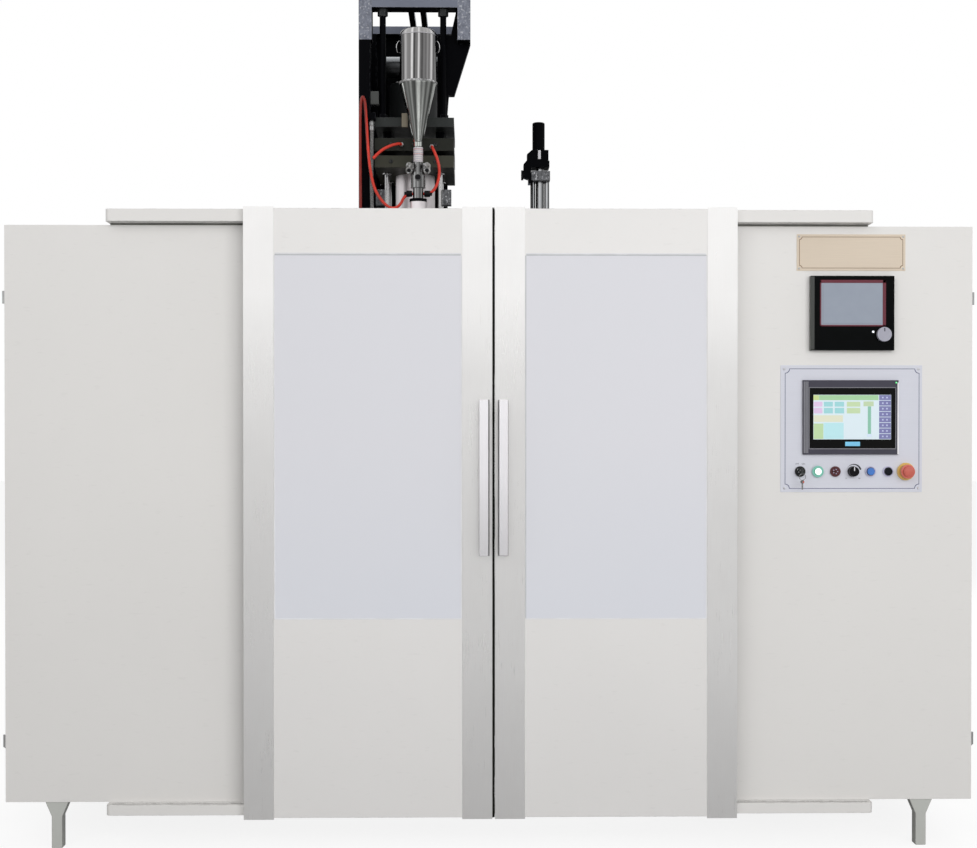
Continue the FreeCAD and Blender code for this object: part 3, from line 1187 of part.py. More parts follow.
def hydraulic_tank():
    """Welded tank with a lipped lid, level gauge, filler and rear cover, on two bearers of its own."""
    floor = SILL_Z + SILL_H
    wall = TANK_WALL
    lip = TANK_LIP
    lid_z = TANK_TOP_Z - TANK_LID_T
    tank = block(TANK_LEFT_X, TANK_RIGHT_X, TANK_FRONT, TANK_BACK, floor, lid_z)
    lid = block(TANK_LEFT_X - lip, TANK_RIGHT_X + lip, TANK_FRONT - lip, TANK_BACK + lip, lid_z, TANK_TOP_Z)
    inside = block(TANK_LEFT_X + wall, TANK_RIGHT_X - wall, TANK_FRONT + wall, TANK_BACK - wall,
                   floor + wall, lid_z)
    port = bar_z(TANK_PORT_R, lid_z, TANK_TOP_Z, PUMP_X, PUMP_DEPTH)
    gauge_depth = TANK_FRONT + TANK_GAUGE_INSET
    gauge = block(TANK_RIGHT_X, TANK_RIGHT_X + TANK_GAUGE_T, gauge_depth - TANK_GAUGE_HALF_W,
                  gauge_depth + TANK_GAUGE_HALF_W, *TANK_GAUGE_Z)
    filler_x = TANK_LEFT_X + FILLER_INSET
    filler_depth = TANK_FRONT + FILLER_INSET
    neck_top = TANK_TOP_Z + FILLER_NECK_H
    filler = [bar_z(FILLER_NECK_R, TANK_TOP_Z, neck_top, filler_x, filler_depth),
              bar_z(FILLER_CAP_R, neck_top, neck_top + FILLER_CAP_H, filler_x, filler_depth)]
    cover = bar_y(COVER_PLATE_R, TANK_BACK, TANK_BACK + COVER_PLATE_T, PUMP_X, (floor + lid_z) / 2)
    vessel = join([tank.cut(inside), lid.cut(port), gauge, cover] + filler)
    bearers = [block(x, x + POST, MIDDLE_POST + POST, MACHINE_BACK - POST, SILL_Z, floor)
               for x in (TANK_LEFT_X, TANK_RIGHT_X - POST)]
    return group([vessel] + bearers)


def pump_unit():
    """Bell housing and finned upright motor over the tank's port, with the pump inside the tank."""
    bell_top = TANK_TOP_Z + PUMP_BELL_H
    motor_top = bell_top + PUMP_MOTOR_H
    fins_low = bell_top + PUMP_BELL_END_H
    fins_high = motor_top - PUMP_COWL_H - PUMP_COWL_GAP
    box_x, box_z, box_y = PUMP_BOX
    middle = (fins_low + fins_high) / 2
    fins = ribbed(PUMP_MOTOR_R, PUMP_MOTOR_ROOT_R, PUMP_FIN_COUNT, fins_high - fins_low)
    fins.translate(V(PUMP_X, behind(PUMP_DEPTH), fins_low))
    return join([bar_z(PUMP_BELL_R, TANK_TOP_Z, bell_top, PUMP_X, PUMP_DEPTH),
                 bar_z(PUMP_BELL_FLANGE_R, TANK_TOP_Z, TANK_TOP_Z + PUMP_BELL_FLANGE_H, PUMP_X, PUMP_DEPTH),
                 bar_z(PUMP_BELL_FLANGE_R, bell_top - PUMP_BELL_FLANGE_H, bell_top, PUMP_X, PUMP_DEPTH),
                 bar_z(PUMP_MOTOR_R, bell_top, fins_low, PUMP_X, PUMP_DEPTH), fins,
                 bar_z(PUMP_MOTOR_ROOT_R, fins_low, motor_top, PUMP_X, PUMP_DEPTH),
                 bar_z(PUMP_COWL_R, motor_top - PUMP_COWL_H, motor_top, PUMP_X, PUMP_DEPTH),
                 block(PUMP_X - PUMP_MOTOR_R - box_y, PUMP_X, PUMP_DEPTH - box_x / 2, PUMP_DEPTH + box_x / 2,
                       middle - box_z / 2, middle + box_z / 2),
                 bar_z(TANK_PORT_R - PANEL_GAP, TANK_TOP_Z - PUMP_INTO_TANK, TANK_TOP_Z, PUMP_X, PUMP_DEPTH)])


# ---------------------------------------------------------------- shuttle and clamp

RAIL_TOP_Z = TABLE_TOP_Z + SHUTTLE_RAIL_H
PLATE_UNDER_Z = TABLE_TOP_Z + SHOE_BLOCK_TOP
CARRIAGE_TOP_Z = PLATE_UNDER_Z + CARRIAGE_PLATE_T
WAY_TOP_Z = CARRIAGE_TOP_Z + WAY_H
CLAMP_Z = (PLATEN_BOTTOM_Z + PLATEN_TOP_Z) / 2
FRONT_PLATEN_FRONT = STATION_DEPTH - MOULD_HALF_T - PLATEN_T
REAR_PLATEN_BACK = STATION_DEPTH + MOULD_HALF_T + PLATEN_T
CROSSHEAD_FRONT = REAR_PLATEN_BACK + 2 * OPENING_STROKE + STROKE_SPARE
CROSSHEAD_BACK = CROSSHEAD_FRONT + PLATEN_T


def carriage_rails():
    x0, x1 = SHUTTLE_RAIL_ENDS
    half = SHUTTLE_RAIL_W / 2
    return group([block(x0, x1, depth - half, depth + half, TABLE_TOP_Z, RAIL_TOP_Z)
                  for depth in SHUTTLE_RAIL_DEPTHS])


def carriage():
    """Plate with four rail shoes below, two guideways above, and the shuttle rod on its lug."""
    left = DIE_X - CARRIAGE_HALF_W
    right = DIE_X + CARRIAGE_HALF_W
    shapes = [block(left, right, CARRIAGE_FRONT, CARRIAGE_BACK, PLATE_UNDER_Z, CARRIAGE_TOP_Z)]
    slots = []
    half = SHUTTLE_RAIL_W / 2 + SEAT_GAP
    for depth in SHUTTLE_RAIL_DEPTHS:
        for x in (left, right - SHOE_BLOCK_LENGTH):
            shapes.append(block(x, x + SHOE_BLOCK_LENGTH, depth - SHOE_BLOCK_W / 2, depth + SHOE_BLOCK_W / 2,
                                TABLE_TOP_Z + PANEL_GAP, PLATE_UNDER_Z))
        slots.append(block(left, right, depth - half, depth + half, TABLE_TOP_Z, RAIL_TOP_Z + SEAT_GAP))
    for side in (-1, 1):
        x = DIE_X + side * WAY_X
        shapes.append(block(x - WAY_W / 2, x + WAY_W / 2, CARRIAGE_FRONT, CARRIAGE_BACK,
                            CARRIAGE_TOP_Z, WAY_TOP_Z))
    lug = block(CARRIAGE_LUG_X, CARRIAGE_LUG_X + SHUTTLE_LUG_T, SHUTTLE_CYL_DEPTH - SHUTTLE_LUG_HALF_W,
                SHUTTLE_CYL_DEPTH + SHUTTLE_LUG_HALF_W, SHUTTLE_CYL_Z - SHUTTLE_LUG_HALF_W, PLATE_UNDER_Z)
    piston_x = SHUTTLE_CYL_LEFT_X + SHUTTLE_CYL_CAP + PANEL_GAP
    rod = bar_x(SHUTTLE_ROD_R, piston_x, CARRIAGE_LUG_X, SHUTTLE_CYL_DEPTH, SHUTTLE_CYL_Z)
    piston = bar_x(SHUTTLE_CYL_BORE_R - RUNNING_FIT, piston_x, piston_x + SHUTTLE_PISTON_T,
                   SHUTTLE_CYL_DEPTH, SHUTTLE_CYL_Z)
    return join([cut(join(shapes), slots), lug, rod, piston])


def shuttle_cylinder():
    """Hollow cylinder on two feet, with an end hole for the rod."""
    x0 = SHUTTLE_CYL_LEFT_X
    x1 = SHUTTLE_CYL_RIGHT_X
    body = [bar_x(SHUTTLE_CYL_R, x0, x1, SHUTTLE_CYL_DEPTH, SHUTTLE_CYL_Z)]
    half = SHUTTLE_FOOT_LENGTH / 2
    for x in BEARER_XS:
        body.append(block(x - half, x + half, SHUTTLE_CYL_DEPTH - SHUTTLE_CYL_R,
                          SHUTTLE_CYL_DEPTH + SHUTTLE_CYL_R, TABLE_BOTTOM_Z, SHUTTLE_CYL_Z))
    bore = bar_x(SHUTTLE_CYL_BORE_R, x0 + SHUTTLE_CYL_CAP, x1 - SHUTTLE_CYL_CAP,
                 SHUTTLE_CYL_DEPTH, SHUTTLE_CYL_Z)
    rod_hole = bar_x(SHUTTLE_ROD_R + RUNNING_FIT, x1 - SHUTTLE_CYL_CAP, x1,
                     SHUTTLE_CYL_DEPTH, SHUTTLE_CYL_Z)
    return cut(join(body), [bore, rod_hole])


def platen(front):
    """Plate with cut corners and two shoes that run on the carriage's guideways."""
    middle = front + PLATEN_T / 2
    wide = CARRIAGE_HALF_W
    narrow = CARRIAGE_HALF_W - PLATEN_CORNER
    low = PLATEN_BOTTOM_Z
    high = PLATEN_TOP_Z
    outline = [(-wide, low), (wide, low), (wide, high - PLATEN_CORNER), (narrow, high), (-narrow, high),
               (-wide, high - PLATEN_CORNER)]
    face = polygon_face([V(DIE_X + dx, behind(front), z) for dx, z in outline])
    shapes = [face.extrude(V(0, PLATEN_T, 0))]
    slots = []
    half = WAY_W / 2 + SEAT_GAP
    for side in (-1, 1):
        x = DIE_X + side * WAY_X
        shapes.append(block(x - PLATEN_SHOE_W / 2, x + PLATEN_SHOE_W / 2, middle - PLATEN_SHOE_LENGTH / 2,
                            middle + PLATEN_SHOE_LENGTH / 2, CARRIAGE_TOP_Z + PLATEN_SHOE_BOTTOM_GAP,
                            WAY_TOP_Z + PLATEN_SHOE_ROOF))
        slots.append(block(x - half, x + half, middle - PLATEN_SHOE_LENGTH, middle + PLATEN_SHOE_LENGTH,
                           CARRIAGE_TOP_Z, WAY_TOP_Z + SEAT_GAP))
    return cut(join(shapes), slots)


def tie_bar_places():
    return [(DIE_X + sx * TIE_BAR_X, CLAMP_Z + sz * TIE_BAR_Z) for sx in (-1, 1) for sz in (-1, 1)]


def tie_bar_holes(front, back):
    return [bar_y(TIE_BAR_R + RUNNING_FIT, front, back, x, z) for x, z in tie_bar_places()]


def front_platen():
    """Fixed to the tie bars' front ends, with two upright ribs on its outer face."""
    half = PLATEN_RIB_T / 2
    ribs = [block(DIE_X + x - half, DIE_X + x + half, FRONT_PLATEN_FRONT - PLATEN_RIB_DEPTH, FRONT_PLATEN_FRONT,
                  PLATEN_BOTTOM_Z + PLATEN_RIB_INSET, PLATEN_TOP_Z - PLATEN_RIB_INSET)
            for x in (-PLATEN_RIB_X, PLATEN_RIB_X)]
    return cut(join([platen(FRONT_PLATEN_FRONT)] + ribs),
               tie_bar_holes(FRONT_PLATEN_FRONT - PLATEN_SHOE_LENGTH, STATION_DEPTH))


def rear_platen():
    """Sliding platen on the tie bars, with the clamp cylinder's rod and piston behind it."""
    front = REAR_PLATEN_BACK - PLATEN_T
    plate = cut(platen(front), tie_bar_holes(STATION_DEPTH, REAR_PLATEN_BACK + PLATEN_SHOE_LENGTH))
    piston_front = CROSSHEAD_BACK + CLAMP_CYL_ENTRY + PANEL_GAP
    rod = bar_y(CLAMP_ROD_R, REAR_PLATEN_BACK, piston_front, DIE_X, CLAMP_Z)
    piston = bar_y(CLAMP_CYL_BORE_R - RUNNING_FIT, piston_front, piston_front + CLAMP_PISTON_T, DIE_X, CLAMP_Z)
    return join([plate, rod, piston])


def clamp_tie_bars():
    """Four bars that tie the front platen to the crosshead, with a nut outside each."""
    shapes = []
    nut = TIE_BAR_NUT_T
    for x, z in tie_bar_places():
        shapes.append(join([bar_y(TIE_BAR_R, FRONT_PLATEN_FRONT - nut, CROSSHEAD_BACK + nut, x, z),
                            bar_y(TIE_BAR_NUT_R, FRONT_PLATEN_FRONT - nut, FRONT_PLATEN_FRONT, x, z),
                            bar_y(TIE_BAR_NUT_R, CROSSHEAD_BACK, CROSSHEAD_BACK + nut, x, z)]))
    return group(shapes)


def clamp_cylinder():
    """Crosshead with the clamp cylinder behind it, bored for the piston and rod."""
    barrel_back = CROSSHEAD_BACK + CLAMP_CYL_ENTRY + 2 * OPENING_STROKE + CLAMP_CYL_SPARE
    barrel = bar_y(CLAMP_CYL_R, CROSSHEAD_FRONT, barrel_back, DIE_X, CLAMP_Z)
    body = join([platen(CROSSHEAD_FRONT), barrel])
    bore_front = CROSSHEAD_BACK + CLAMP_CYL_ENTRY
    bore = bar_y(CLAMP_CYL_BORE_R, bore_front, barrel_back - CLAMP_CYL_CAP, DIE_X, CLAMP_Z)
    rod_hole = bar_y(CLAMP_ROD_R + RUNNING_FIT, CROSSHEAD_FRONT, bore_front, DIE_X, CLAMP_Z)
    holes = tie_bar_holes(CROSSHEAD_FRONT - PLATEN_SHOE_LENGTH, CROSSHEAD_BACK + PLATEN_SHOE_LENGTH)
    return cut(body, [bore, rod_hole] + holes)


def bottle():
    """Shape of the blown bottle: round base edge, straight body, sloped shoulder and open neck."""
    return turned([(0, BOTTLE_BOTTOM_Z), (BOTTLE_R - BOTTLE_BASE_R, BOTTLE_BOTTOM_Z),
                   (BOTTLE_R, BOTTLE_BOTTOM_Z + BOTTLE_BASE_R), (BOTTLE_R, BOTTLE_SHOULDER_Z),
                   (BOTTLE_NECK_R, BOTTLE_NECK_Z), (BOTTLE_NECK_R, MOULD_TOP_Z), (0, MOULD_TOP_Z)],
                  DIE_X, STATION_DEPTH)


def guide_pins(radius, length):
    return [bar_y(radius, STATION_DEPTH, STATION_DEPTH + length,
                  DIE_X + sx * GUIDE_PIN_X, CLAMP_Z + sz * GUIDE_PIN_Z)
            for sx in (-1, 1) for sz in (-1, 1)]


def front_mould():
    """Front half of the mould with its four guide pins."""
    half = block(DIE_X - MOULD_HALF_W, DIE_X + MOULD_HALF_W, STATION_DEPTH - MOULD_HALF_T, STATION_DEPTH,
                 MOULD_BOTTOM_Z, MOULD_TOP_Z)
    pins = guide_pins(GUIDE_PIN_R, GUIDE_PIN_LENGTH)
    return join([half.cut(bottle())] + pins)


def rear_mould():
    half = block(DIE_X - MOULD_HALF_W, DIE_X + MOULD_HALF_W, STATION_DEPTH, STATION_DEPTH + MOULD_HALF_T,
                 MOULD_BOTTOM_Z, MOULD_TOP_Z)
    return cut(half, [bottle()] + guide_pins(GUIDE_PIN_R + RUNNING_FIT, GUIDE_PIN_LENGTH + PANEL_GAP))


# ---------------------------------------------------------------- blow unit

STAR_FACE_X = BLOW_X - BRACKET_HALF_W + min(dx for dx, dz in ARM_PROFILE)
STAR_Z = BRACKET_Z[1] - KNOB_DROP
STAR_DEPTH = STATION_DEPTH - CLAMP_BLOCK_HALF_D + ARM_T / 2


def blow_rods(radius, z0, z1):
    return [bar_z(radius, z0, z1, BLOW_X + side * GUIDE_ROD_X, STATION_DEPTH) for side in (-1, 1)]


def blow_frame():
    """Base plate on its bearers, two guide rods and the clamp block that holds the cylinder."""
    base_top = BRIDGE_TOP_Z + BLOW_PLATE_T
    plate = block(BLOW_X - BLOW_PLATE_HALF_W, BLOW_X + BLOW_PLATE_HALF_W, STATION_DEPTH - BLOW_PLATE_HALF_D,
                  STATION_DEPTH + BLOW_PLATE_HALF_D, BRIDGE_TOP_Z, base_top)
    hole = bar_z(BLOW_PLATE_HOLE_R, BRIDGE_TOP_Z, base_top, BLOW_X, STATION_DEPTH)
    low, high = CLAMP_BLOCK_Z
    clamp_x = BLOW_X + CLAMP_BLOCK_SHIFT
    clamp = block(clamp_x - CLAMP_BLOCK_HALF_W, clamp_x + CLAMP_BLOCK_HALF_W,
                  STATION_DEPTH - CLAMP_BLOCK_HALF_D, STATION_DEPTH + CLAMP_BLOCK_HALF_D, low, high)
    body = join([plate.cut(hole), clamp] + blow_rods(GUIDE_ROD_R, base_top, low))
    return cut(body, [bar_z(BLOW_CYL_R + RUNNING_FIT, low, high, BLOW_X, STATION_DEPTH)])


def blow_cylinder():
    """Slim cylinder with its black bracket, stepped side arm, scale slot and stroke tube on top."""
    low, high = BRACKET_Z
    left = BLOW_X - BRACKET_HALF_W
    right = BLOW_X + BRACKET_HALF_W
    front = STATION_DEPTH - CLAMP_BLOCK_HALF_D
    back = STATION_DEPTH + CLAMP_BLOCK_HALF_D
    slot_left, slot_right = SCALE_SLOT_X
    barrel = bar_z(BLOW_CYL_R, BLOW_CYL_BOTTOM_Z, high, BLOW_X, STATION_DEPTH)
    bracket = block(left, right, front, back, low, high)
    foot = block(left, right + BRACKET_FOOT_REACH, front, back, low, low + BRACKET_FOOT_H)
    scale_slot = block(BLOW_X + slot_left, BLOW_X + slot_right, front, front + SCALE_SLOT_DEPTH,
                       high - SCALE_SLOT_H, high)
    tube = bar_z(STROKE_TUBE_R, high, STROKE_TUBE_TOP_Z, BLOW_X + STROKE_TUBE_SHIFT, STATION_DEPTH)
    tube = tube.makeFillet(STROKE_TUBE_ROUND, [e for e in tube.Edges
                                               if all(v.Point.z > STROKE_TUBE_TOP_Z - 1 for v in e.Vertexes)])
    arm_face = polygon_face([V(left + dx, behind(front), high + dz) for dx, dz in ARM_PROFILE])
    arm = arm_face.extrude(V(0, ARM_T, 0))
    body = join([barrel, bracket.cut(scale_slot), foot, tube, arm])
    bore = bar_z(BLOW_CYL_BORE_R, BLOW_CYL_BOTTOM_Z + BLOW_CYL_CAP, high, BLOW_X, STATION_DEPTH)
    rod_hole = bar_z(BLOW_ROD_R + RUNNING_FIT, BLOW_CYL_BOTTOM_Z, BLOW_CYL_BOTTOM_Z + BLOW_CYL_CAP,
                     BLOW_X, STATION_DEPTH)
    stem_hole = bar_x(STAR_STEM_R + RUNNING_FIT, STAR_FACE_X, STAR_FACE_X + STAR_STEM_DEPTH + SEAT_GAP,
                      STAR_DEPTH, STAR_Z)
    return cut(body, [bore, rod_hole, stem_hole])


def stroke_knob():
    """Star knob on a short stem in the side arm."""
    x0 = STAR_FACE_X - SEAT_GAP - STAR_T
    points = []
    for i in range(2 * STAR_POINTS):
        radius = STAR_R if i % 2 == 0 else STAR_R * STAR_WAIST
        angle = math.pi * i / STAR_POINTS
        points.append(V(x0, behind(STAR_DEPTH) + radius * math.cos(angle), STAR_Z + radius * math.sin(angle)))
    star = polygon_face(points).extrude(V(STAR_T, 0, 0))
    return join([star, bar_x(STAR_STEM_R, x0, STAR_FACE_X + STAR_STEM_DEPTH, STAR_DEPTH, STAR_Z)])


def blow_pin():
    """Blow pin under a yoke that runs on the guide rods, with the cylinder's rod and piston above."""
    yoke = block(BLOW_X - PIN_YOKE_HALF_W, BLOW_X + PIN_YOKE_HALF_W, STATION_DEPTH - PIN_YOKE_HALF_D,
                 STATION_DEPTH + PIN_YOKE_HALF_D, PIN_YOKE_Z, PIN_YOKE_Z + PIN_YOKE_T)
    tip_top = BLOW_PIN_BOTTOM_Z + BLOW_TIP_H
    piston_z = BLOW_CYL_BOTTOM_Z + BLOW_CYL_CAP + BLOW_STROKE + BLOW_STROKE_SPARE
    body = join([yoke,
                 bar_z(BLOW_PIN_R, tip_top, PIN_YOKE_Z, BLOW_X, STATION_DEPTH),
                 bar_z(BLOW_TIP_R, BLOW_PIN_BOTTOM_Z, tip_top, BLOW_X, STATION_DEPTH),
                 bar_z(BLOW_ROD_R, PIN_YOKE_Z, piston_z, BLOW_X, STATION_DEPTH),
                 bar_z(BLOW_CYL_BORE_R - RUNNING_FIT, piston_z, piston_z + BLOW_PISTON_T,
                       BLOW_X, STATION_DEPTH)])
    return cut(body, blow_rods(GUIDE_ROD_R + RUNNING_FIT, PIN_YOKE_Z, PIN_YOKE_Z + PIN_YOKE_T))


# ---------------------------------------------------------------- controls

CONTROL_FACE = FRONT_PANEL_FACE - PLATE_T
BEZEL_FACE = CONTROL_FACE - BEZEL_H
KEY, GREEN, BUZZER, SPEED, BLUE, BLACK, ESTOP = range(ROW_COUNT)


def operator_plate():
    plate = block(PLATE_X[0], PLATE_X[1], CONTROL_FACE, FRONT_PANEL_FACE, PLATE_Z[0], PLATE_Z[1])
    return cut(plate, panel_cutouts())


def hmi():
    """Touch screen: a framed bezel on the plate with its body through the panel."""
    x0, x1 = HMI_X
    z0, z1 = HMI_Z
    inset = HMI_BODY_INSET
    inset_x, inset_z = HMI_SCREEN_INSET
    front = CONTROL_FACE - HMI_PROUD
    bezel = block(x0, x1, front, CONTROL_FACE, z0, z1)
    body = block(x0 + inset, x1 - inset, CONTROL_FACE, CONTROL_FACE + HMI_BODY_DEPTH, z0 + inset, z1 - inset)
    screen = block(x0 + inset_x, x1 - inset_x, front, front + HMI_SCREEN_RECESS, z0 + inset_z, z1 - inset_z)
    return cut(join([bezel, body]), [screen])


def parison_controller():
    """Screen unit with a knob hole at its lower right."""
    x0, x1 = CONTROLLER_X
    z0, z1 = CONTROLLER_Z
    inset = CONTROLLER_BODY_INSET
    side, top, bottom = CONTROLLER_SCREEN_INSET
    front = FRONT_PANEL_FACE - CONTROLLER_PROUD
    bezel = block(x0, x1, front, FRONT_PANEL_FACE, z0, z1)
    body = block(x0 + inset, x1 - inset, FRONT_PANEL_FACE, FRONT_PANEL_FACE + CONTROLLER_BODY_DEPTH,
                 z0 + inset, z1 - inset)
    screen = block(x0 + side, x1 - side, front, front + CONTROLLER_SCREEN_RECESS, z0 + bottom, z1 - top)
    shaft = bar_y(CONTROLLER_SHAFT_R + RUNNING_FIT, front, front + CONTROLLER_SHAFT_LENGTH + SEAT_GAP,
                  CONTROLLER_KNOB_X, CONTROLLER_KNOB_Z)
    return cut(join([bezel, body]), [screen, shaft])


def controller_knob():
    front = FRONT_PANEL_FACE - CONTROLLER_PROUD
    knob = bar_y(CONTROLLER_KNOB_R, front - SEAT_GAP - CONTROLLER_KNOB_H, front - SEAT_GAP,
                 CONTROLLER_KNOB_X, CONTROLLER_KNOB_Z)
    shaft = bar_y(CONTROLLER_SHAFT_R, front - SEAT_GAP, front + CONTROLLER_SHAFT_LENGTH,
                  CONTROLLER_KNOB_X, CONTROLLER_KNOB_Z)
    return join([knob, shaft])


def control_bezels():
    """Seven panel fittings: bezel, threaded barrel and back nut; the buzzer has holes instead of a bore."""
    shapes = []
    nut_front = FRONT_PANEL_FACE + SHEET
    for place in range(ROW_COUNT):
        x = row_x(place)
        radius = COLLAR_R if place == ESTOP else BEZEL_R
        height = COLLAR_H if place == ESTOP else BEZEL_H
        fitting = join([bar_y(radius, CONTROL_FACE - height, CONTROL_FACE, x, ROW_Z),
                        bar_y(BEZEL_BARREL_R, CONTROL_FACE, BEZEL_BARREL_END, x, ROW_Z),
                        bar_y(BEZEL_NUT_R, nut_front, nut_front + BEZEL_NUT_H, x, ROW_Z)])
        if place == BUZZER:
            angles = [2 * math.pi * i / BUZZER_HOLE_COUNT for i in range(BUZZER_HOLE_COUNT)]
            tools = [bar_y(BUZZER_HOLE_R, CONTROL_FACE - height, CONTROL_FACE,
                           x + BUZZER_HOLE_RING * math.cos(angle),
                           ROW_Z + BUZZER_HOLE_RING * math.sin(angle)) for angle in angles]
            tools.append(bar_y(BUZZER_HOLE_R, CONTROL_FACE - height, CONTROL_FACE, x, ROW_Z))
        else:
            tools = [bar_y(BEZEL_BORE_R, CONTROL_FACE - height, BEZEL_BARREL_END, x, ROW_Z)]
        shapes.append(cut(fitting, tools))
    return group(shapes)


def plunger(place, front):
    return bar_y(BEZEL_BORE_R - RUNNING_FIT, front, PLUNGER_END, row_x(place), ROW_Z)


def push_button(place):
    """Plain plunger that stands proud of its bezel."""
    return plunger(place, BEZEL_FACE - BUTTON_PROUD)


def estop_button():
    """Mushroom head on its stem."""
    back = CONTROL_FACE - COLLAR_H - ESTOP_HEAD_GAP
    head = bar_y(ESTOP_HEAD_R, back - ESTOP_HEAD_H, back, row_x(ESTOP), ROW_Z)
    return join([head, plunger(ESTOP, back)])


def speed_knob():
    back = BEZEL_FACE - SEAT_GAP
    head = bar_y(SPEED_KNOB_R, back - SPEED_KNOB_H, back, row_x(SPEED), ROW_Z)
    return join([head, plunger(SPEED, back)])


def key_switch():
    """Lock plug with a flat key in it."""
    x = row_x(KEY)
    face = BEZEL_FACE - SEAT_GAP
    bow = face - KEY_BLADE_LENGTH
    blade = block(x - KEY_T / 2, x + KEY_T / 2, bow, face, ROW_Z - KEY_BLADE_W / 2, ROW_Z + KEY_BLADE_W / 2)
    grip = block(x - KEY_T / 2, x + KEY_T / 2, bow - KEY_BOW_LENGTH, bow,
                 ROW_Z - KEY_BOW_W / 2, ROW_Z + KEY_BOW_W / 2)
    return join([plunger(KEY, face), blade, grip])


# ---------------------------------------------------------------- hoses

def route_z(height):
    return BRIDGE_TOP_Z + height if height > 0 else HEAD_TOP_Z + height


def tube_along(points, radius):
    """Round tube along straight runs joined by tangent arcs, each as large as its two runs allow."""
    corners = [V(x, behind(depth), route_z(height)) for x, depth, height in points]
    edges = []
    radii = []
    start = corners[0]
    for before, corner, after in zip(corners, corners[1:], corners[2:]):
        back = (before - corner).normalize()
        ahead = (after - corner).normalize()
        half_turn = (math.pi - back.getAngle(ahead)) / 2
        tangent = ARC_SHARE * min(before.distanceToPoint(corner), corner.distanceToPoint(after))
        arc_r = tangent / math.tan(half_turn)
        radii.append(round(arc_r))
        inwards = (back + ahead).normalize()
        middle = corner + inwards * (arc_r / math.cos(half_turn) - arc_r)
        arc_start = corner + back * tangent
        arc_end = corner + ahead * tangent
        edges.append(Part.LineSegment(start, arc_start).toShape())
        edges.append(Part.Arc(arc_start, middle, arc_end).toShape())
        start = arc_end
    edges.append(Part.LineSegment(start, corners[-1]).toShape())
    path = Part.Wire(edges)
    swept = math.pi * radius ** 2 * path.Length / 1e6
    print(f"tube {path.Length:.0f} mm long, section times length {swept:.4f} dm3, bend radii {radii}")
    ring = Part.Wire([Part.Circle(corners[0], corners[1] - corners[0], radius).toShape()])
    return path.makePipeShell([ring], True, False)


def cooling_hoses():
    """Three hoses round the stripe feeder, held at both ends."""
    return group([tube_along(route, HOSE_R) for route in HOSE_ROUTES])


def conduit():
    return tube_along(CONDUIT_ROUTE, CONDUIT_R)


PARTS = {
    "base_frame": base_frame(),
    "levelling_feet": levelling_feet(),
    "guard_legs": guard_legs(),
    "left_front_panel": left_front_panel(),
    "right_front_panel": right_front_panel(),
    "left_enclosure": mirrored(cabinet()),
    "control_cabinet": cabinet(),
    "door_rails": door_rails(),
    "left_door_leaf": door_leaf(*LEFT_DOOR_X),
    "left_door_stiles": door_stiles(*LEFT_DOOR_X),
    "left_door_window": door_window(*LEFT_DOOR_X),
    "left_door_handle": door_handle(LEFT_DOOR_X[1] - HANDLE_FROM_SEAM_EDGE),
    "right_door_leaf": door_leaf(*RIGHT_DOOR_X),
    "right_door_stiles": door_stiles(*RIGHT_DOOR_X),
    "right_door_window": door_window(*RIGHT_DOOR_X),
    "right_door_handle": door_handle(RIGHT_DOOR_X[0] + HANDLE_FROM_SEAM_EDGE),
    "left_side_door": mirrored(side_door()),
    "right_side_door": side_door(),
    "head_frame": head_frame(),
    "head_plates": head_plates(),
    "head_bolts": head_bolts(),
    "die_head": die_head(),
    "parison_rod": parison_rod(),
    "parison_cylinder": parison_cylinder(),
    "stripe_hopper": stripe_hopper(),
    "stripe_feeder": stripe_feeder(),
    "cooling_hoses": cooling_hoses(),
    "conduit": conduit(),
    "extruder_barrel": extruder_barrel(),
    "extruder_screw": extruder_screw(),
    "heater_bands": heater_bands(),
    "gearbox": gearbox(),
    "main_motor": main_motor(),
    "main_hopper": main_hopper(),
    "hydraulic_tank": hydraulic_tank(),
    "pump_unit": pump_unit(),
    "carriage_rails": carriage_rails(),
    "carriage": carriage(),
    "shuttle_cylinder": shuttle_cylinder(),
    "front_platen": front_platen(),
    "rear_platen": rear_platen(),
    "clamp_tie_bars": clamp_tie_bars(),
    "clamp_cylinder": clamp_cylinder(),
    "front_mould": front_mould(),
    "rear_mould": rear_mould(),
    "blow_frame": blow_frame(),
    "blow_cylinder": blow_cylinder(),
    "stroke_knob": stroke_knob(),
    "blow_pin": blow_pin(),
    "operator_plate": operator_plate(),
    "hmi": hmi(),
    "parison_controller": parison_controller(),
    "controller_knob": controller_knob(),
    "control_bezels": control_bezels(),
    "key_switch": key_switch(),
    "green_button": push_button(GREEN),
    "speed_knob": speed_knob(),
    "blue_button": push_button(BLUE),
    "black_button": push_button(BLACK),
    "estop_button": estop_button(),
}

os.makedirs("parts", exist_ok=True)
for name, shape in PARTS.items():
    shape.exportStep(f"parts/{name}.step")
    print(f"{name}: {len(shape.Solids)} solids, {shape.Volume / 1e6:.3f} dm3, valid {shape.isValid()}")
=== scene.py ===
import json
import math

import bmesh
import bpy
from mathutils import Matrix, Vector


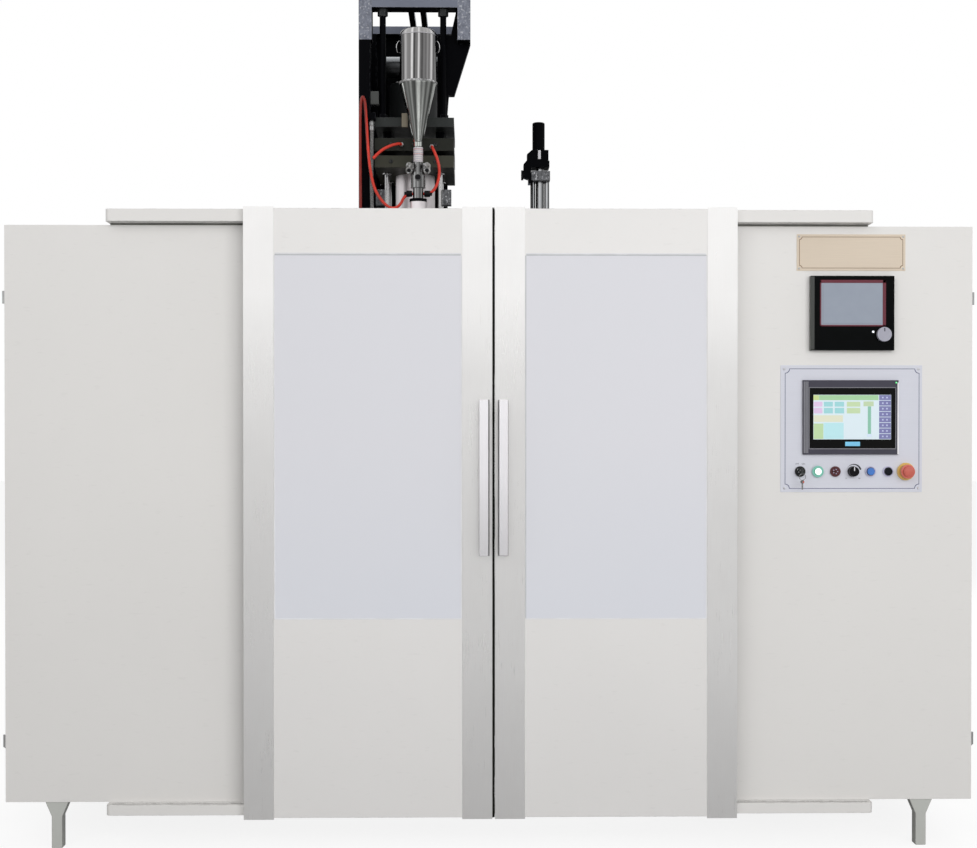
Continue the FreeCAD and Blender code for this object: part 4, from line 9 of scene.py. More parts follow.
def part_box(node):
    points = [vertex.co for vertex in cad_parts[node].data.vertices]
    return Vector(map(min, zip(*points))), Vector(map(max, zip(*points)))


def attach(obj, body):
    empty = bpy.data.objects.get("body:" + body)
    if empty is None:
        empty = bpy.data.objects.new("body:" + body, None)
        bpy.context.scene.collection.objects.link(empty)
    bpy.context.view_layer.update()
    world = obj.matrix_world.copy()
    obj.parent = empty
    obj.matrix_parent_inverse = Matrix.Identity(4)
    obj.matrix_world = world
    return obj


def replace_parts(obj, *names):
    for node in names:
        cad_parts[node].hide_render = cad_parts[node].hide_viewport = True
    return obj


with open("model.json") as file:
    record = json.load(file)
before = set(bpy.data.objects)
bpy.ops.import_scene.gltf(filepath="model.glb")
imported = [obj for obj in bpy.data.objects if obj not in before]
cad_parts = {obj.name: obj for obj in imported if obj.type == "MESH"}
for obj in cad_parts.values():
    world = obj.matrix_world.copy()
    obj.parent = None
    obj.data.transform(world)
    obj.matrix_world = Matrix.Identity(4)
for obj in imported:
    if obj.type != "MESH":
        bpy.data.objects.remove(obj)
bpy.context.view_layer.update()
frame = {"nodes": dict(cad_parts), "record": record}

# The calls below take millimetres, and MM makes them metres.
MM = 0.001
PHOTO_WIDTH = 977

# The face of the closed sliding doors. A depth is measured backwards from it.
DOOR_FACE_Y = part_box("left_door_stiles")[0].y


def at(x, depth, z):
    """A point from its place across, behind the doors' face and above the floor."""
    return Vector((x * MM, DOOR_FACE_Y + depth * MM, z * MM))


def in_millimetres(point):
    """A point's place across, behind the doors' face and above the floor."""
    return point.x / MM, (point.y - DOOR_FACE_Y) / MM, point.z / MM


def linked(name, data):
    """A new object in the scene."""
    made = bpy.data.objects.new(name, data)
    bpy.context.scene.collection.objects.link(made)
    return made


# ---------------------------------------------------------------- shader maths

class Wire:
    """An output socket. Python's operators on it add Math nodes, so patterns read as expressions."""

    def __init__(self, finish, socket):
        self.finish = finish
        self.socket = socket

    def maths(self, operation, *values):
        return self.finish.node("ShaderNodeMath", {"operation": operation}, dict(enumerate(values)))

    def __add__(self, other):
        return self.maths("ADD", self, other)

    def __sub__(self, other):
        return self.maths("SUBTRACT", self, other)

    def __rsub__(self, other):
        return self.maths("SUBTRACT", other, self)

    def __mul__(self, other):
        return self.maths("MULTIPLY", self, other)

    __radd__ = __add__
    __rmul__ = __mul__


class Finish:
    """One procedural material, or the world."""

    def __init__(self, name, kind="materials"):
        self.material = getattr(bpy.data, kind).new(name)
        self.material.use_nodes = True
        self.tree = self.material.node_tree
        self.tree.nodes.clear()
        self.place = self.node("ShaderNodeTexCoord", {}, {}, "Object")

    def node(self, kind, settings, sockets, out=0):
        """Adds a node: its settings first, then a value or a wire for each named or numbered socket."""
        made = self.tree.nodes.new(kind)
        for key, value in settings.items():
            if key == "stops":
                ramp = made.color_ramp.elements
                ramp.remove(ramp[1])
                ramp[0].position = value[0][0]
                ramp[0].color = (*value[0][1], 1)
                for position, colour in value[1:]:
                    ramp.new(position).color = (*colour, 1)
            else:
                setattr(made, key, value)
        for key, value in sockets.items():
            if isinstance(value, Wire):
                self.tree.links.new(value.socket, made.inputs[key])
            elif isinstance(value, (tuple, list)) and made.inputs[key].type == "RGBA":
                made.inputs[key].default_value = (*value, 1)
            else:
                made.inputs[key].default_value = value
        return Wire(self, made.outputs[out]) if made.outputs else None

    def noise(self, scale, detail=3.0, stretch=(1, 1, 1)):
        place = self.node("ShaderNodeVectorMath", {"operation": "MULTIPLY"}, {0: self.place, 1: stretch})
        return self.node("ShaderNodeTexNoise", {}, {"Vector": place, "Scale": scale, "Detail": detail}, "Fac")

    def cells(self, scale):
        return self.node("ShaderNodeTexVoronoi", {}, {"Vector": self.place, "Scale": scale}, "Distance")

    def span(self, value, low, high, to_low=0.0, to_high=1.0):
        """Maps low..high onto to_low..to_high and holds it there outside."""
        return self.node("ShaderNodeMapRange", {"clamp": True},
                         {"Value": value, "From Min": low, "From Max": high, "To Min": to_low, "To Max": to_high})

    def mix(self, factor, first, second):
        return self.node("ShaderNodeMix", {"data_type": "RGBA"}, {0: factor, 6: first, 7: second}, 2)

    def height(self):
        return self.node("ShaderNodeSeparateXYZ", {}, {0: self.place}, "Z")

    def fade(self, tone, low, high, gain):
        """Painted shade: takes the tone down to gain towards a low height in metres. From the high one up it is left
        alone.
        """
        shade = self.mix(self.span(self.height(), low, high), (gain,) * 3, (1.0, 1.0, 1.0))
        return self.node("ShaderNodeMix", {"data_type": "RGBA", "blend_type": "MULTIPLY"},
                         {0: 1.0, 6: tone, 7: shade}, 2)

    def attribute(self, name, out="Fac"):
        return self.node("ShaderNodeAttribute", {"attribute_name": name}, {}, out)

    def ray(self, kind):
        return self.node("ShaderNodeLightPath", {}, {}, kind)

    def rim(self):
        """1 on the faces that round an edge off, 0 elsewhere."""
        return self.attribute("rim")

    def bump(self, height, distance, strength=0.5):
        return self.node("ShaderNodeBump", {}, {"Height": height, "Distance": distance, "Strength": strength})

    def surface(self, colour, roughness, metallic=0.0, bump=None, **constants):
        sockets = {"Base Color": colour, "Roughness": roughness, "Metallic": metallic}
        if bump is not None:
            sockets["Normal"] = bump
        for name, value in constants.items():
            sockets[name.replace("_", " ").title().replace("Ior", "IOR")] = value
        shader = self.node("ShaderNodeBsdfPrincipled", {}, sockets)
        self.node("ShaderNodeOutputMaterial", {}, {"Surface": shader})
        return self.material


def tinted(colour, gain, lift=0.0):
    return tuple(min(1.0, c * gain + lift) for c in colour)


# ---------------------------------------------------------------- finishes

WORN_COAT = (0.50, 0.49, 0.47)


def powder_coat(name, colour, roughness, fade=(0.1, 1.6, 0.95)):
    """Satin powder coat: orange peel, faint mottling, painted shade that darkens it towards the floor, and edges rubbed
    darker.
    """
    f = Finish(name)
    cloud = f.noise(2.2, 4.0)
    grain = f.noise(160.0, 2.0)
    scuffs = f.span(f.noise(30.0, 5.0, (1, 1, 4)), 0.62, 0.75)
    rubbed = f.rim() * f.span(f.noise(45.0, 4.0), 0.50, 0.62, 0.0, 0.8)
    tone = f.mix(f.span(cloud, 0.3, 0.7, 0.0, 0.5), colour, tinted(colour, 0.955))
    tone = f.mix(scuffs * 0.10, tone, WORN_COAT)
    # Painted shade: the tone darkens towards the floor.
    tone = f.fade(f.mix(rubbed, tone, WORN_COAT), *fade)
    peel = grain * 0.7 + f.noise(420.0, 1.0) * 0.3
    return f.surface(tone, f.span(cloud + scuffs * 0.3, 0.3, 1.0, roughness - 0.04, roughness + 0.10), 0.0,
                     f.bump(peel, 0.0002), specular_ior_level=0.4)


def brushed(name, colour, direction, roughness, streak=0.10, metallic=1.0, fade=(0, 1, 1.0)):
    """Sheet brushed along one axis: long streaks, faint smears, brighter worn edges and, where the gain is below 1,
    painted shade towards the floor.
    """
    f = Finish(name)
    fine = tuple(0.012 if axis == direction else 1.0 for axis in "XYZ")
    broad = tuple(0.06 if axis == direction else 1.0 for axis in "XYZ")
    lines = f.noise(900.0, 3.0, fine)
    bands = f.noise(40.0, 3.0, broad)
    smear = f.noise(5.0, 4.0)
    tone = f.mix(f.span(lines, 0.3, 0.7), tinted(colour, 1 - streak), tinted(colour, 1 + streak))
    tone = f.mix(f.span(smear, 0.45, 0.75, 0.0, 0.25), tone, tinted(colour, 0.88))
    # Painted shade: the tone darkens towards the floor where the gain is below 1.
    tone = f.fade(f.mix(f.rim() * 0.6, tone, tinted(colour, 1.2)), *fade)
    gloss = f.span(lines + bands * 0.4 + smear * 0.8, 0.6, 1.5, roughness - 0.03, roughness + 0.05)
    return f.surface(tone, gloss, metallic, f.bump(lines, 0.00004, 0.15))


def machined(name, colour, roughness):
    """Ground steel: fine marks, small stains and bright edges."""
    f = Finish(name)
    marks = f.noise(700.0, 2.0, (1, 1, 0.15))
    stain = f.noise(25.0, 5.0)
    tone = f.mix(f.span(stain, 0.45, 0.72, 0.0, 0.5), colour, tinted(colour, 0.62))
    tone = f.mix(f.rim() * 0.7, tone, tinted(colour, 1.35))
    gloss = f.span(stain + marks * 0.4, 0.4, 1.0, roughness - 0.05, roughness + 0.14)
    return f.surface(tone, gloss, 1.0, f.bump(marks, 0.00004))


def painted_reflection_metal(name, stops, roughness, tint=(1.0, 1.0, 1.0), metallic=1.0):
    """Polished round steel with painted reflections and painted shade: bright and dark streaks run along it, from its
    left side (0) to its right (1).
    """
    f = Finish(name)
    wobble = (f.noise(11.0, 3.0, (1, 1, 0.3)) - 0.5) * 0.07
    tones = [(place, tuple(tone * part for part in tint)) for place, tone in stops]
    across = f.attribute("round") * 0.5 + 0.5 + wobble
    tone = f.node("ShaderNodeValToRGB", {"stops": tones}, {"Fac": across}, "Color")
    smear = f.noise(30.0, 5.0)
    tone = f.mix(f.span(smear, 0.52, 0.8, 0.0, 0.22), tone, tinted(tint, 0.24))
    tone = f.mix(f.rim() * 0.35, tone, tinted(tint, 0.70))
    marks = f.noise(650.0, 2.0, (0.1, 0.1, 1))
    return f.surface(tone, f.span(smear + marks * 0.3, 0.4, 1.0, roughness - 0.04, roughness + 0.12), metallic,
                     f.bump(marks, 0.00003, 0.4))


def enamel(name, colour, worn, roughness, sheen=0.45):
    """Brushed-on machine enamel: uneven gloss, chips at the edges and dust in the tone."""
    f = Finish(name)
    cloud = f.noise(7.0, 5.0)
    flow = f.noise(60.0, 3.0)
    chips = f.span(f.noise(90.0, 5.0), 0.47, 0.55)
    specks = f.span(f.noise(140.0, 2.0), 0.72, 0.78)
    tone = f.mix(f.span(cloud, 0.35, 0.7, 0.0, 0.6), colour, tinted(colour, 0.74))
    tone = f.mix(specks * 0.3, tone, worn)
    tone = f.mix(f.rim() * chips, tone, worn)
    return f.surface(tone, f.span(cloud + flow * 0.5, 0.4, 1.1, roughness - 0.06, roughness + 0.16), 0.0,
                     f.bump(flow * 0.6 - chips * 0.4, 0.0003), specular_ior_level=sheen)


def moulded(name, colour, roughness, sheen=0.5, coat=0.0):
    """Moulded plastic: a fine spark-eroded grain, faint handling marks and softer edges."""
    f = Finish(name)
    handled = f.noise(18.0, 4.0)
    tone = f.mix(f.span(handled, 0.4, 0.7, 0.0, 0.4), colour, tinted(colour, 1.3, 0.0015))
    tone = f.mix(f.rim() * 0.35, tone, tinted(colour, 1.8, 0.006))
    return f.surface(tone, f.span(handled, 0.35, 0.7, roughness - 0.04, roughness + 0.10), 0.0,
                     f.bump(f.noise(600.0, 2.0), 0.00005, 0.4), coat_weight=coat, coat_roughness=0.08,
                     specular_ior_level=sheen)


def flame_cut(name, low, high, painted_glints):
    """Rough flame-cut or cast face: drag lines, slag pits and painted glints, bright spots on dull steel."""
    f = Finish(name)
    drag = f.noise(110.0, 5.0, (1, 1, 0.5))
    pits = f.cells(150.0)
    bright = f.span(f.noise(150.0, 4.0), 0.58, 0.66)
    tone = f.mix(f.span(drag, 0.35, 0.65), low, high)
    tone = f.mix(bright * painted_glints, tone, (0.74, 0.75, 0.78))
    return f.surface(tone, f.span(drag, 0.3, 0.7, 0.38, 0.65), 0.2, f.bump(drag * 0.7 + pits * 0.3, 0.004, 0.8))


def frosted_acrylic(name):
    """Frosted acrylic sheet, pale lavender and a little bluer towards the foot."""
    f = Finish(name)
    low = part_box("left_door_window")[0]
    foot = f.span(f.height(), low.z, low.z + 0.5)
    cloud = f.noise(1.6, 2.0)
    tone = f.mix(foot, (0.700, 0.716, 0.770), (0.735, 0.735, 0.775))
    tone = f.mix(f.span(cloud, 0.35, 0.65, 0.0, 0.35), tone, (0.735, 0.740, 0.780))
    return f.surface(tone, f.span(cloud, 0.3, 0.7, 0.34, 0.44), 0.0, f.bump(f.noise(900.0, 1.0), 0.00004),
                     coat_weight=0.15, coat_roughness=0.3, specular_ior_level=0.35)


def lit_panel(name, strength):
    """Back-lit glass, coloured block by block."""
    f = Finish(name)
    colour = f.attribute("lit", "Color")
    glass = f.mix(f.noise(30.0, 2.0) * 0.08, colour, (0.9, 0.95, 1.0))
    return f.surface(f.mix(0.45, colour, (0.02, 0.02, 0.02)), f.span(f.noise(20.0), 0.3, 0.7, 0.16, 0.24), 0.0,
                     emission_color=glass, emission_strength=strength)


def braid(name):
    """Woven sleeve round the conduit, with crossing strands."""
    f = Finish(name)
    weave = f.cells(520.0)
    tone = f.mix(f.span(weave, 0.1, 0.6), (0.46, 0.46, 0.45), (0.12, 0.12, 0.12))
    return f.surface(tone, f.span(weave, 0.0, 0.7, 0.42, 0.6), 0.35, f.bump(weave, 0.0008, 0.8))


def hose_rubber(name, colour):
    """Smooth rubber hose with dust and small scuffs, and painted shade where it runs along the left column."""
    f = Finish(name)
    dust = f.noise(35.0, 4.0)
    tone = f.mix(f.span(dust, 0.4, 0.75), colour, tinted(colour, 0.72, 0.01))
    # Painted shade on the hose where it runs along the left column.
    column_painted_shade = f.span(f.node("ShaderNodeSeparateXYZ", {}, {0: f.place}, "X"), -0.375, -0.368, 0.85, 0.0)
    tone = f.mix(column_painted_shade, tone, tinted(colour, 0.22))
    return f.surface(tone, f.span(dust, 0.3, 0.7, 0.34, 0.52), 0.0, f.bump(f.noise(450.0, 2.0), 0.0001),
                     coat_weight=0.15, coat_roughness=0.3)


def finishes(kind, **rows):
    """One material from each row's values, under the row's name."""
    return {name: kind(name, *values) for name, values in rows.items()}


FINISH = {
    **finishes(
        powder_coat,
        # A row's third value, or the default where it has none, is painted shade that darkens the tone towards the
        # floor.
        cabinet_paint=((0.800, 0.785, 0.765), 0.42, (0.2, 1.7, 0.93)),
        leg_paint=((0.53, 0.54, 0.51), 0.42),
        door_paint=((0.850, 0.835, 0.820), 0.40, (0.2, 1.4, 0.87))),
    **finishes(
        brushed,
        # The last value in the door_steel and handle_steel rows is painted shade that darkens them towards the floor.
        door_steel=((0.99, 0.975, 0.965), "Z", 0.28, 0.02, 0.9, (1.36, 1.58, 0.90)),
        handle_steel=((0.95, 0.93, 0.96), "Z", 0.22, 0.012, 0.55, (0.84, 1.08, 0.80)),
        # The dark tone that the handles' sides get is painted shade.
        handle_side=((0.10, 0.10, 0.10), "Z", 0.30, 0.10),
        hopper_sheet=((0.60, 0.60, 0.60), "X", 0.30),
        plate_aluminium=((0.670, 0.680, 0.750), "X", 0.46, 0.02, 0.05),
        nameplate_brass=((0.70, 0.60, 0.485), "X", 0.42, 0.03, 0.15)),
    **finishes(
        enamel,
        machine_paint=((0.42, 0.44, 0.45), (0.26, 0.25, 0.23), 0.42),
        black_paint=((0.0012, 0.0013, 0.0020), (0.035, 0.035, 0.040), 0.5, 0.04),
        beam_paint=((0.175, 0.190, 0.240), (0.34, 0.35, 0.38), 0.40, 0.3),
        motor_paint=((0.045, 0.095, 0.160), (0.20, 0.20, 0.20), 0.36),
        dark_steel=((0.020, 0.022, 0.023), (0.14, 0.14, 0.14), 0.40, 0.25),
        plate_steel=((0.026, 0.029, 0.028), (0.17, 0.17, 0.18), 0.42, 0.2),
        olive_steel=((0.046, 0.046, 0.034), (0.18, 0.175, 0.15), 0.42, 0.2),
        dark_olive_steel=((0.016, 0.017, 0.013), (0.15, 0.15, 0.13), 0.42, 0.2)),
    **finishes(
        flame_cut,
        # Each row's last value is the strength of its painted glints.
        flame_cut_edge=((0.130, 0.140, 0.175), (0.235, 0.250, 0.300), 0.45),
        cast_steel=((0.060, 0.062, 0.066), (0.180, 0.185, 0.195), 0.75),
        yoke_steel=((0.10, 0.10, 0.095), (0.42, 0.41, 0.40), 0.9),
        seam_bead=((0.10, 0.10, 0.10), (0.62, 0.62, 0.62), 0.8)),
    **finishes(
        painted_reflection_metal,
        # Each row's stops are painted reflections and painted shade across the round part: bright and dark streaks on
        # the hopper and rods, a lit left and shaded right side on heater_cover, a dark left and bright right side on
        # drive_steel.
        polished_steel=(
            ((0.00, 0.020), (0.07, 0.160), (0.10, 0.050), (0.165, 0.470), (0.21, 0.230), (0.29, 0.200),
             (0.345, 0.860), (0.375, 0.200), (0.405, 0.030), (0.45, 0.190), (0.485, 0.140), (0.53, 0.720),
             (0.565, 0.180), (0.62, 0.060), (0.67, 0.190), (0.72, 0.120), (0.77, 0.270), (0.81, 0.110),
             (0.87, 0.620), (0.905, 0.090), (0.95, 0.130), (1.00, 0.015)), 0.10, (1.0, 0.985, 0.985)),
        polished_cone=(
            ((0.00, 0.45), (0.05, 0.80), (0.11, 0.24), (0.18, 0.62), (0.24, 0.34), (0.29, 0.92), (0.34, 0.28),
             (0.42, 0.14), (0.49, 0.80), (0.56, 0.74), (0.61, 0.20), (0.69, 0.60), (0.75, 0.20), (0.82, 0.76),
             (0.88, 0.13), (0.95, 0.30), (1.00, 0.12)), 0.10, (0.97, 1.0, 0.96)),
        hopper_lid=(
            ((0.00, 0.16), (0.12, 0.42), (0.30, 0.66), (0.50, 0.50), (0.68, 0.60), (0.86, 0.42), (1.00, 0.20)),
            0.24, (0.97, 0.95, 1.0)),
        heater_cover=(
            ((0.00, 0.50), (0.12, 0.88), (0.35, 0.95), (0.52, 0.86), (0.72, 0.74), (0.88, 0.70), (1.00, 0.36)),
            0.34, (0.99, 0.93, 0.95), 0.6),
        chromed_rod=(
            ((0.00, 0.10), (0.14, 0.45), (0.30, 0.80), (0.50, 0.70), (0.66, 0.36), (0.84, 0.55), (1.00, 0.16)),
            0.12),
        guide_rod=(
            ((0.00, 0.02), (0.14, 0.10), (0.32, 0.36), (0.48, 0.60), (0.62, 0.34), (0.80, 0.12), (0.90, 0.03),
             (1.00, 0.01)), 0.16, (0.96, 0.98, 1.0)),
        ground_steel=(
            ((0.00, 0.05), (0.15, 0.13), (0.28, 0.42), (0.36, 0.12), (0.48, 0.30), (0.56, 0.16), (0.70, 0.07),
             (0.82, 0.24), (0.90, 0.07), (1.00, 0.04)), 0.22),
        drive_steel=(
            ((0.00, 0.020), (0.25, 0.024), (0.48, 0.030), (0.62, 0.060), (0.72, 0.200), (0.84, 0.340),
             (0.92, 0.560), (1.00, 0.300)), 0.2, (0.92, 0.96, 1.0), 0.8)),
    **finishes(
        machined,
        plain_steel=((0.50, 0.50, 0.50), 0.28),
        mould_aluminium=((0.62, 0.63, 0.64), 0.30),
        knob_metal=((0.62, 0.62, 0.64), 0.25)),
    **finishes(
        moulded,
        window_gasket=((0.52, 0.53, 0.55), 0.55),
        # The next row's pale grey serves the window gaskets' sides and foot and the painted highlight above each
        # window.
        pale_gasket=((0.72, 0.72, 0.74), 0.5),
        # The next row's grey is the painted shadow line under the door rails.
        rail_seal=((0.17, 0.17, 0.155), 0.6, 0.2),
        brush_bristle=((0.010, 0.009, 0.008), 0.6, 0.2),
        pale_plastic=((0.62, 0.58, 0.58), 0.4),
        red_line=((0.45, 0.07, 0.06), 0.45),
        black_plastic=((0.003, 0.003, 0.004), 0.38, 0.15),
        gloss_black=((0.0012, 0.0016, 0.0018), 0.16, 0.05),
        housing_side=((0.060, 0.063, 0.060), 0.35, 0.2),
        dark_plastic=((0.050, 0.048, 0.066), 0.38, 0.3),
        rib_plastic=((0.19, 0.19, 0.21), 0.4),
        panel_glass=((0.002, 0.002, 0.002), 0.10, 0.1),
        plain_blue_strip=((0.20, 0.56, 0.83), 0.4),
        white_plastic=((0.80, 0.79, 0.82), 0.35),
        bezel_black=((0.010, 0.010, 0.011), 0.34, 0.3),
        frame_red=((0.115, 0.014, 0.027), 0.35),
        dial_grey=((0.36, 0.36, 0.42), 0.35),
        brown_line=((0.20, 0.115, 0.065), 0.5),
        blue_line=((0.075, 0.085, 0.170), 0.5),
        printed_ink=((0.035, 0.035, 0.05), 0.5),
        beige_box=((0.23, 0.20, 0.15), 0.5),
        yellow_collar=((0.74, 0.49, 0.14), 0.4),
        buzzer_red=((0.070, 0.012, 0.016), 0.35),
        pale_rim=((0.46, 0.45, 0.60), 0.3),
        green_lens=((0.05, 0.55, 0.25), 0.2, 0.5, 0.5),
        blue_cap=((0.045, 0.165, 0.510), 0.25, 0.5, 0.3),
        black_cap=((0.004, 0.005, 0.008), 0.25, 0.2),
        red_cap=((0.54, 0.115, 0.085), 0.28, 0.5, 0.3)),
    **finishes(lit_panel, lit_screen=(0.62,), lit_lamp=(1.0,)),
    **finishes(frosted_acrylic, frosted_window=()),
    **finishes(hose_rubber, red_hose=((0.66, 0.035, 0.016),)),
    **finishes(braid, grey_braid=())}


# ---------------------------------------------------------------- mesh helpers

BODY_OF = {node: body for body, nodes in frame["record"]["behaviour"]["bodies"].items() for node in nodes}

# Each axis of a turned shape: its direction, and the direction across it that "round" runs along.
AXES = {"Z": ((0, 0, 1), (1, 0, 0)), "X": ((1, 0, 0), (0, 0, 1)), "-Y": ((0, -1, 0), (1, 0, 0))}

# A turned shape's cone that is shorter than this counts as a rounded edge.
ROUNDING = 4.0
SHARP_ANGLE = 35.0
CORNER_CUTS = 8

# Points closer than the first are one point, a face narrower than the second is a sliver, and a bend below the
# angle is flat. A point nearer to a turned part's axis than the last has no side to it.
SAME_POINT = 0.01
SLIVER = 0.002
FLAT_ANGLE = 0.5
ON_AXIS = 0.5
LETTER_HEIGHT = 6.0
RING_EDGE = 0.4


def layers(bm):
    """The mesh's own values: "rim" for edges, "round" for the place across a turned part, "lit" for colour."""
    faces = bm.faces.layers
    return (faces.float.get("rim") or faces.float.new("rim"),
            bm.verts.layers.float.get("round") or bm.verts.layers.float.new("round"),
            faces.float_vector.get("lit") or faces.float_vector.new("lit"))


def shown(name, data, body="machine"):
    """A piece that rides on a body."""
    piece = linked(name, data)
    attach(piece, body)
    return piece


def as_mesh(name, bm, smooth_angle=SHARP_ANGLE):
    """Turns a bmesh into a mesh, smooth but for its sharp edges."""
    mesh = bpy.data.meshes.new(name)
    bm.to_mesh(mesh)
    bm.free()
    mesh.shade_smooth()
    mesh.set_sharp_from_angle(angle=math.radians(smooth_angle))
    return mesh


def finished(name, bm, finish, body="machine", smooth_angle=SHARP_ANGLE):
    """Turns a bmesh into a piece. A face's material_index picks one of the finish's words."""
    mesh = as_mesh(name, bm, smooth_angle)
    for word in finish.split():
        mesh.materials.append(FINISH[word])
    piece = shown(name, mesh, body)
    flat = piece.modifiers.new("flat_faces_stay_flat", "WEIGHTED_NORMAL")
    flat.keep_sharp = True
    flat.weight = 100
    return piece


def joined(parts):
    """One bmesh from several, which are used up."""
    bm = bmesh.new()
    layers(bm)
    for part in parts:
        layers(part)
        mesh = bpy.data.meshes.new("part")
        part.to_mesh(mesh)
        part.free()
        bm.from_mesh(mesh)
        bpy.data.meshes.remove(mesh)
    return bm


def built(name, finish, parts, body="machine"):
    return finished(name, joined(parts), finish, body)


def marked(part, index=0, lit=None):
    """Sets its faces' finish, and the colour that they are lit with."""
    lit_layer = layers(part)[2]
    for face in part.faces:
        face.material_index = index
        if lit:
            face[lit_layer] = lit
    return part


def soften(bm, edges, width, segments=2):
    """Rounds edges off and marks the new faces as rim."""
    rim = layers(bm)[0]
    made = bmesh.ops.bevel(bm, geom=list(edges), offset=width * MM, segments=segments, profile=0.5,
                           affect="EDGES", clamp_overlap=True)
    for face in made["faces"]:
        face[rim] = 1.0


def slab(across, depth, up, edge=0.6, index=0, lit=None):
    """Block with rounded edges, between two limits each way."""
    part = bmesh.new()
    bmesh.ops.create_cube(part, size=1.0)
    low = at(across[0], depth[0], up[0])
    high = at(across[1], depth[1], up[1])
    for vertex in part.verts:
        vertex.co = (low + high) / 2 + Vector(side * way for side, way in zip(vertex.co, high - low))
    if edge:
        soften(part, part.edges, edge)
    return marked(part, index, lit)


def slabs(*rows):
    return [slab(*row) for row in rows]


def lathe(profile, place=None, axis="Z", steps=48, index=0, loop=False, lit=None):
    """Shape turned from (radius, height) points along an axis. A loop profile closes on itself, as in a ring."""
    part = bmesh.new()
    rim, round_layer, _ = layers(part)
    base = at(*place) if place else Vector()
    along, across = (Vector(way) for way in AXES[axis])
    third = along.cross(across)
    rings = []
    for radius, height in profile:
        turned = []
        for step in range(steps if radius > 0 else 1):
            angle = math.tau * step / steps
            out = across * math.cos(angle) + third * math.sin(angle)
            vertex = part.verts.new(base + (out * radius + along * height) * MM)
            vertex[round_layer] = math.cos(angle) if radius > 0 else 0.0
            turned.append(vertex)
        rings.append(turned)
    pairs = list(zip(rings, rings[1:], profile, profile[1:]))
    if loop:
        pairs.append((rings[-1], rings[0], profile[-1], profile[0]))
    for first, second, (r0, h0), (r1, h1) in pairs:
        rounding = r0 != r1 and h0 != h1 and math.hypot(r1 - r0, h1 - h0) < ROUNDING
        for step in range(steps):
            after = (step + 1) % steps
            corners = [first[step % len(first)], first[after % len(first)],
                       second[after % len(second)], second[step % len(second)]]
            corners = list(dict.fromkeys(corners))
            if len(corners) > 2:
                part.faces.new(corners)[rim] = 1.0 if rounding else 0.0
    bmesh.ops.recalc_face_normals(part, faces=part.faces)
    return marked(part, index, lit)


def rod(radius, place, length, axis="Z", edge=0.6, steps=48, index=0, lit=None):
    """Round bar with chamfered ends."""
    return lathe([(0, 0), (radius - edge, 0), (radius, edge), (radius, length - edge), (radius - edge, length),
                  (0, length)], place, axis, steps, index, lit=lit)


def ring(inner, outer, place, height, axis="Z", steps=48, index=0, lit=None):
    """Flat ring with chamfered outer corners."""
    side = outer - RING_EDGE
    return lathe([(inner, 0), (side, 0), (outer, RING_EDGE), (outer, height - RING_EDGE), (side, height),
                  (inner, height)], place, axis, steps, index, loop=True, lit=lit)


def notched_line(across, up, front, notch, width, proud):
    """Raised line round a plate, with its corners cut in by quarter circles."""
    def outline(inset):
        left, right = across[0] + inset, across[1] - inset
        low, high = up[0] + inset, up[1] - inset
        points = []
        for x, z, start in ((left, low, 90), (right, low, 180), (right, high, 270), (left, high, 360)):
            for step in range(CORNER_CUTS + 1):
                angle = math.radians(start - 90 * step / CORNER_CUTS)
                points.append((x + notch * math.cos(angle), z + notch * math.sin(angle)))
        return points

    part = bmesh.new()
    loops = [[part.verts.new(at(x, depth, z)) for x, z in outline(inset)]
             for inset, depth in ((0, front), (0, front - proud), (width, front - proud), (width, front))]
    count = len(loops[0])
    for first, second in zip(loops, loops[1:] + loops[:1]):
        for step in range(count):
            after = (step + 1) % count
            part.faces.new([first[step], first[after], second[after], second[step]])
    bmesh.ops.recalc_face_normals(part, faces=part.faces)
    return part


def words(text, x, depth, z):
    """Small generic lettering, standing upright and facing forwards."""
    curve = bpy.data.curves.new("lettering", "FONT")
    curve.body = text
    curve.size = LETTER_HEIGHT * MM
    curve.extrude = 0.06 * MM
    curve.resolution_u = 3
    curve.align_x = "CENTER"
    holder = bpy.data.objects.new("lettering", curve)
    mesh = bpy.data.meshes.new_from_object(holder)
    mesh.transform(Matrix.Translation(at(x, depth, z)) @ Matrix.Rotation(math.radians(90), 4, "X"))
    bpy.data.objects.remove(holder)
    part = bmesh.new()
    part.from_mesh(mesh)
    bpy.data.meshes.remove(mesh)
    return marked(part)


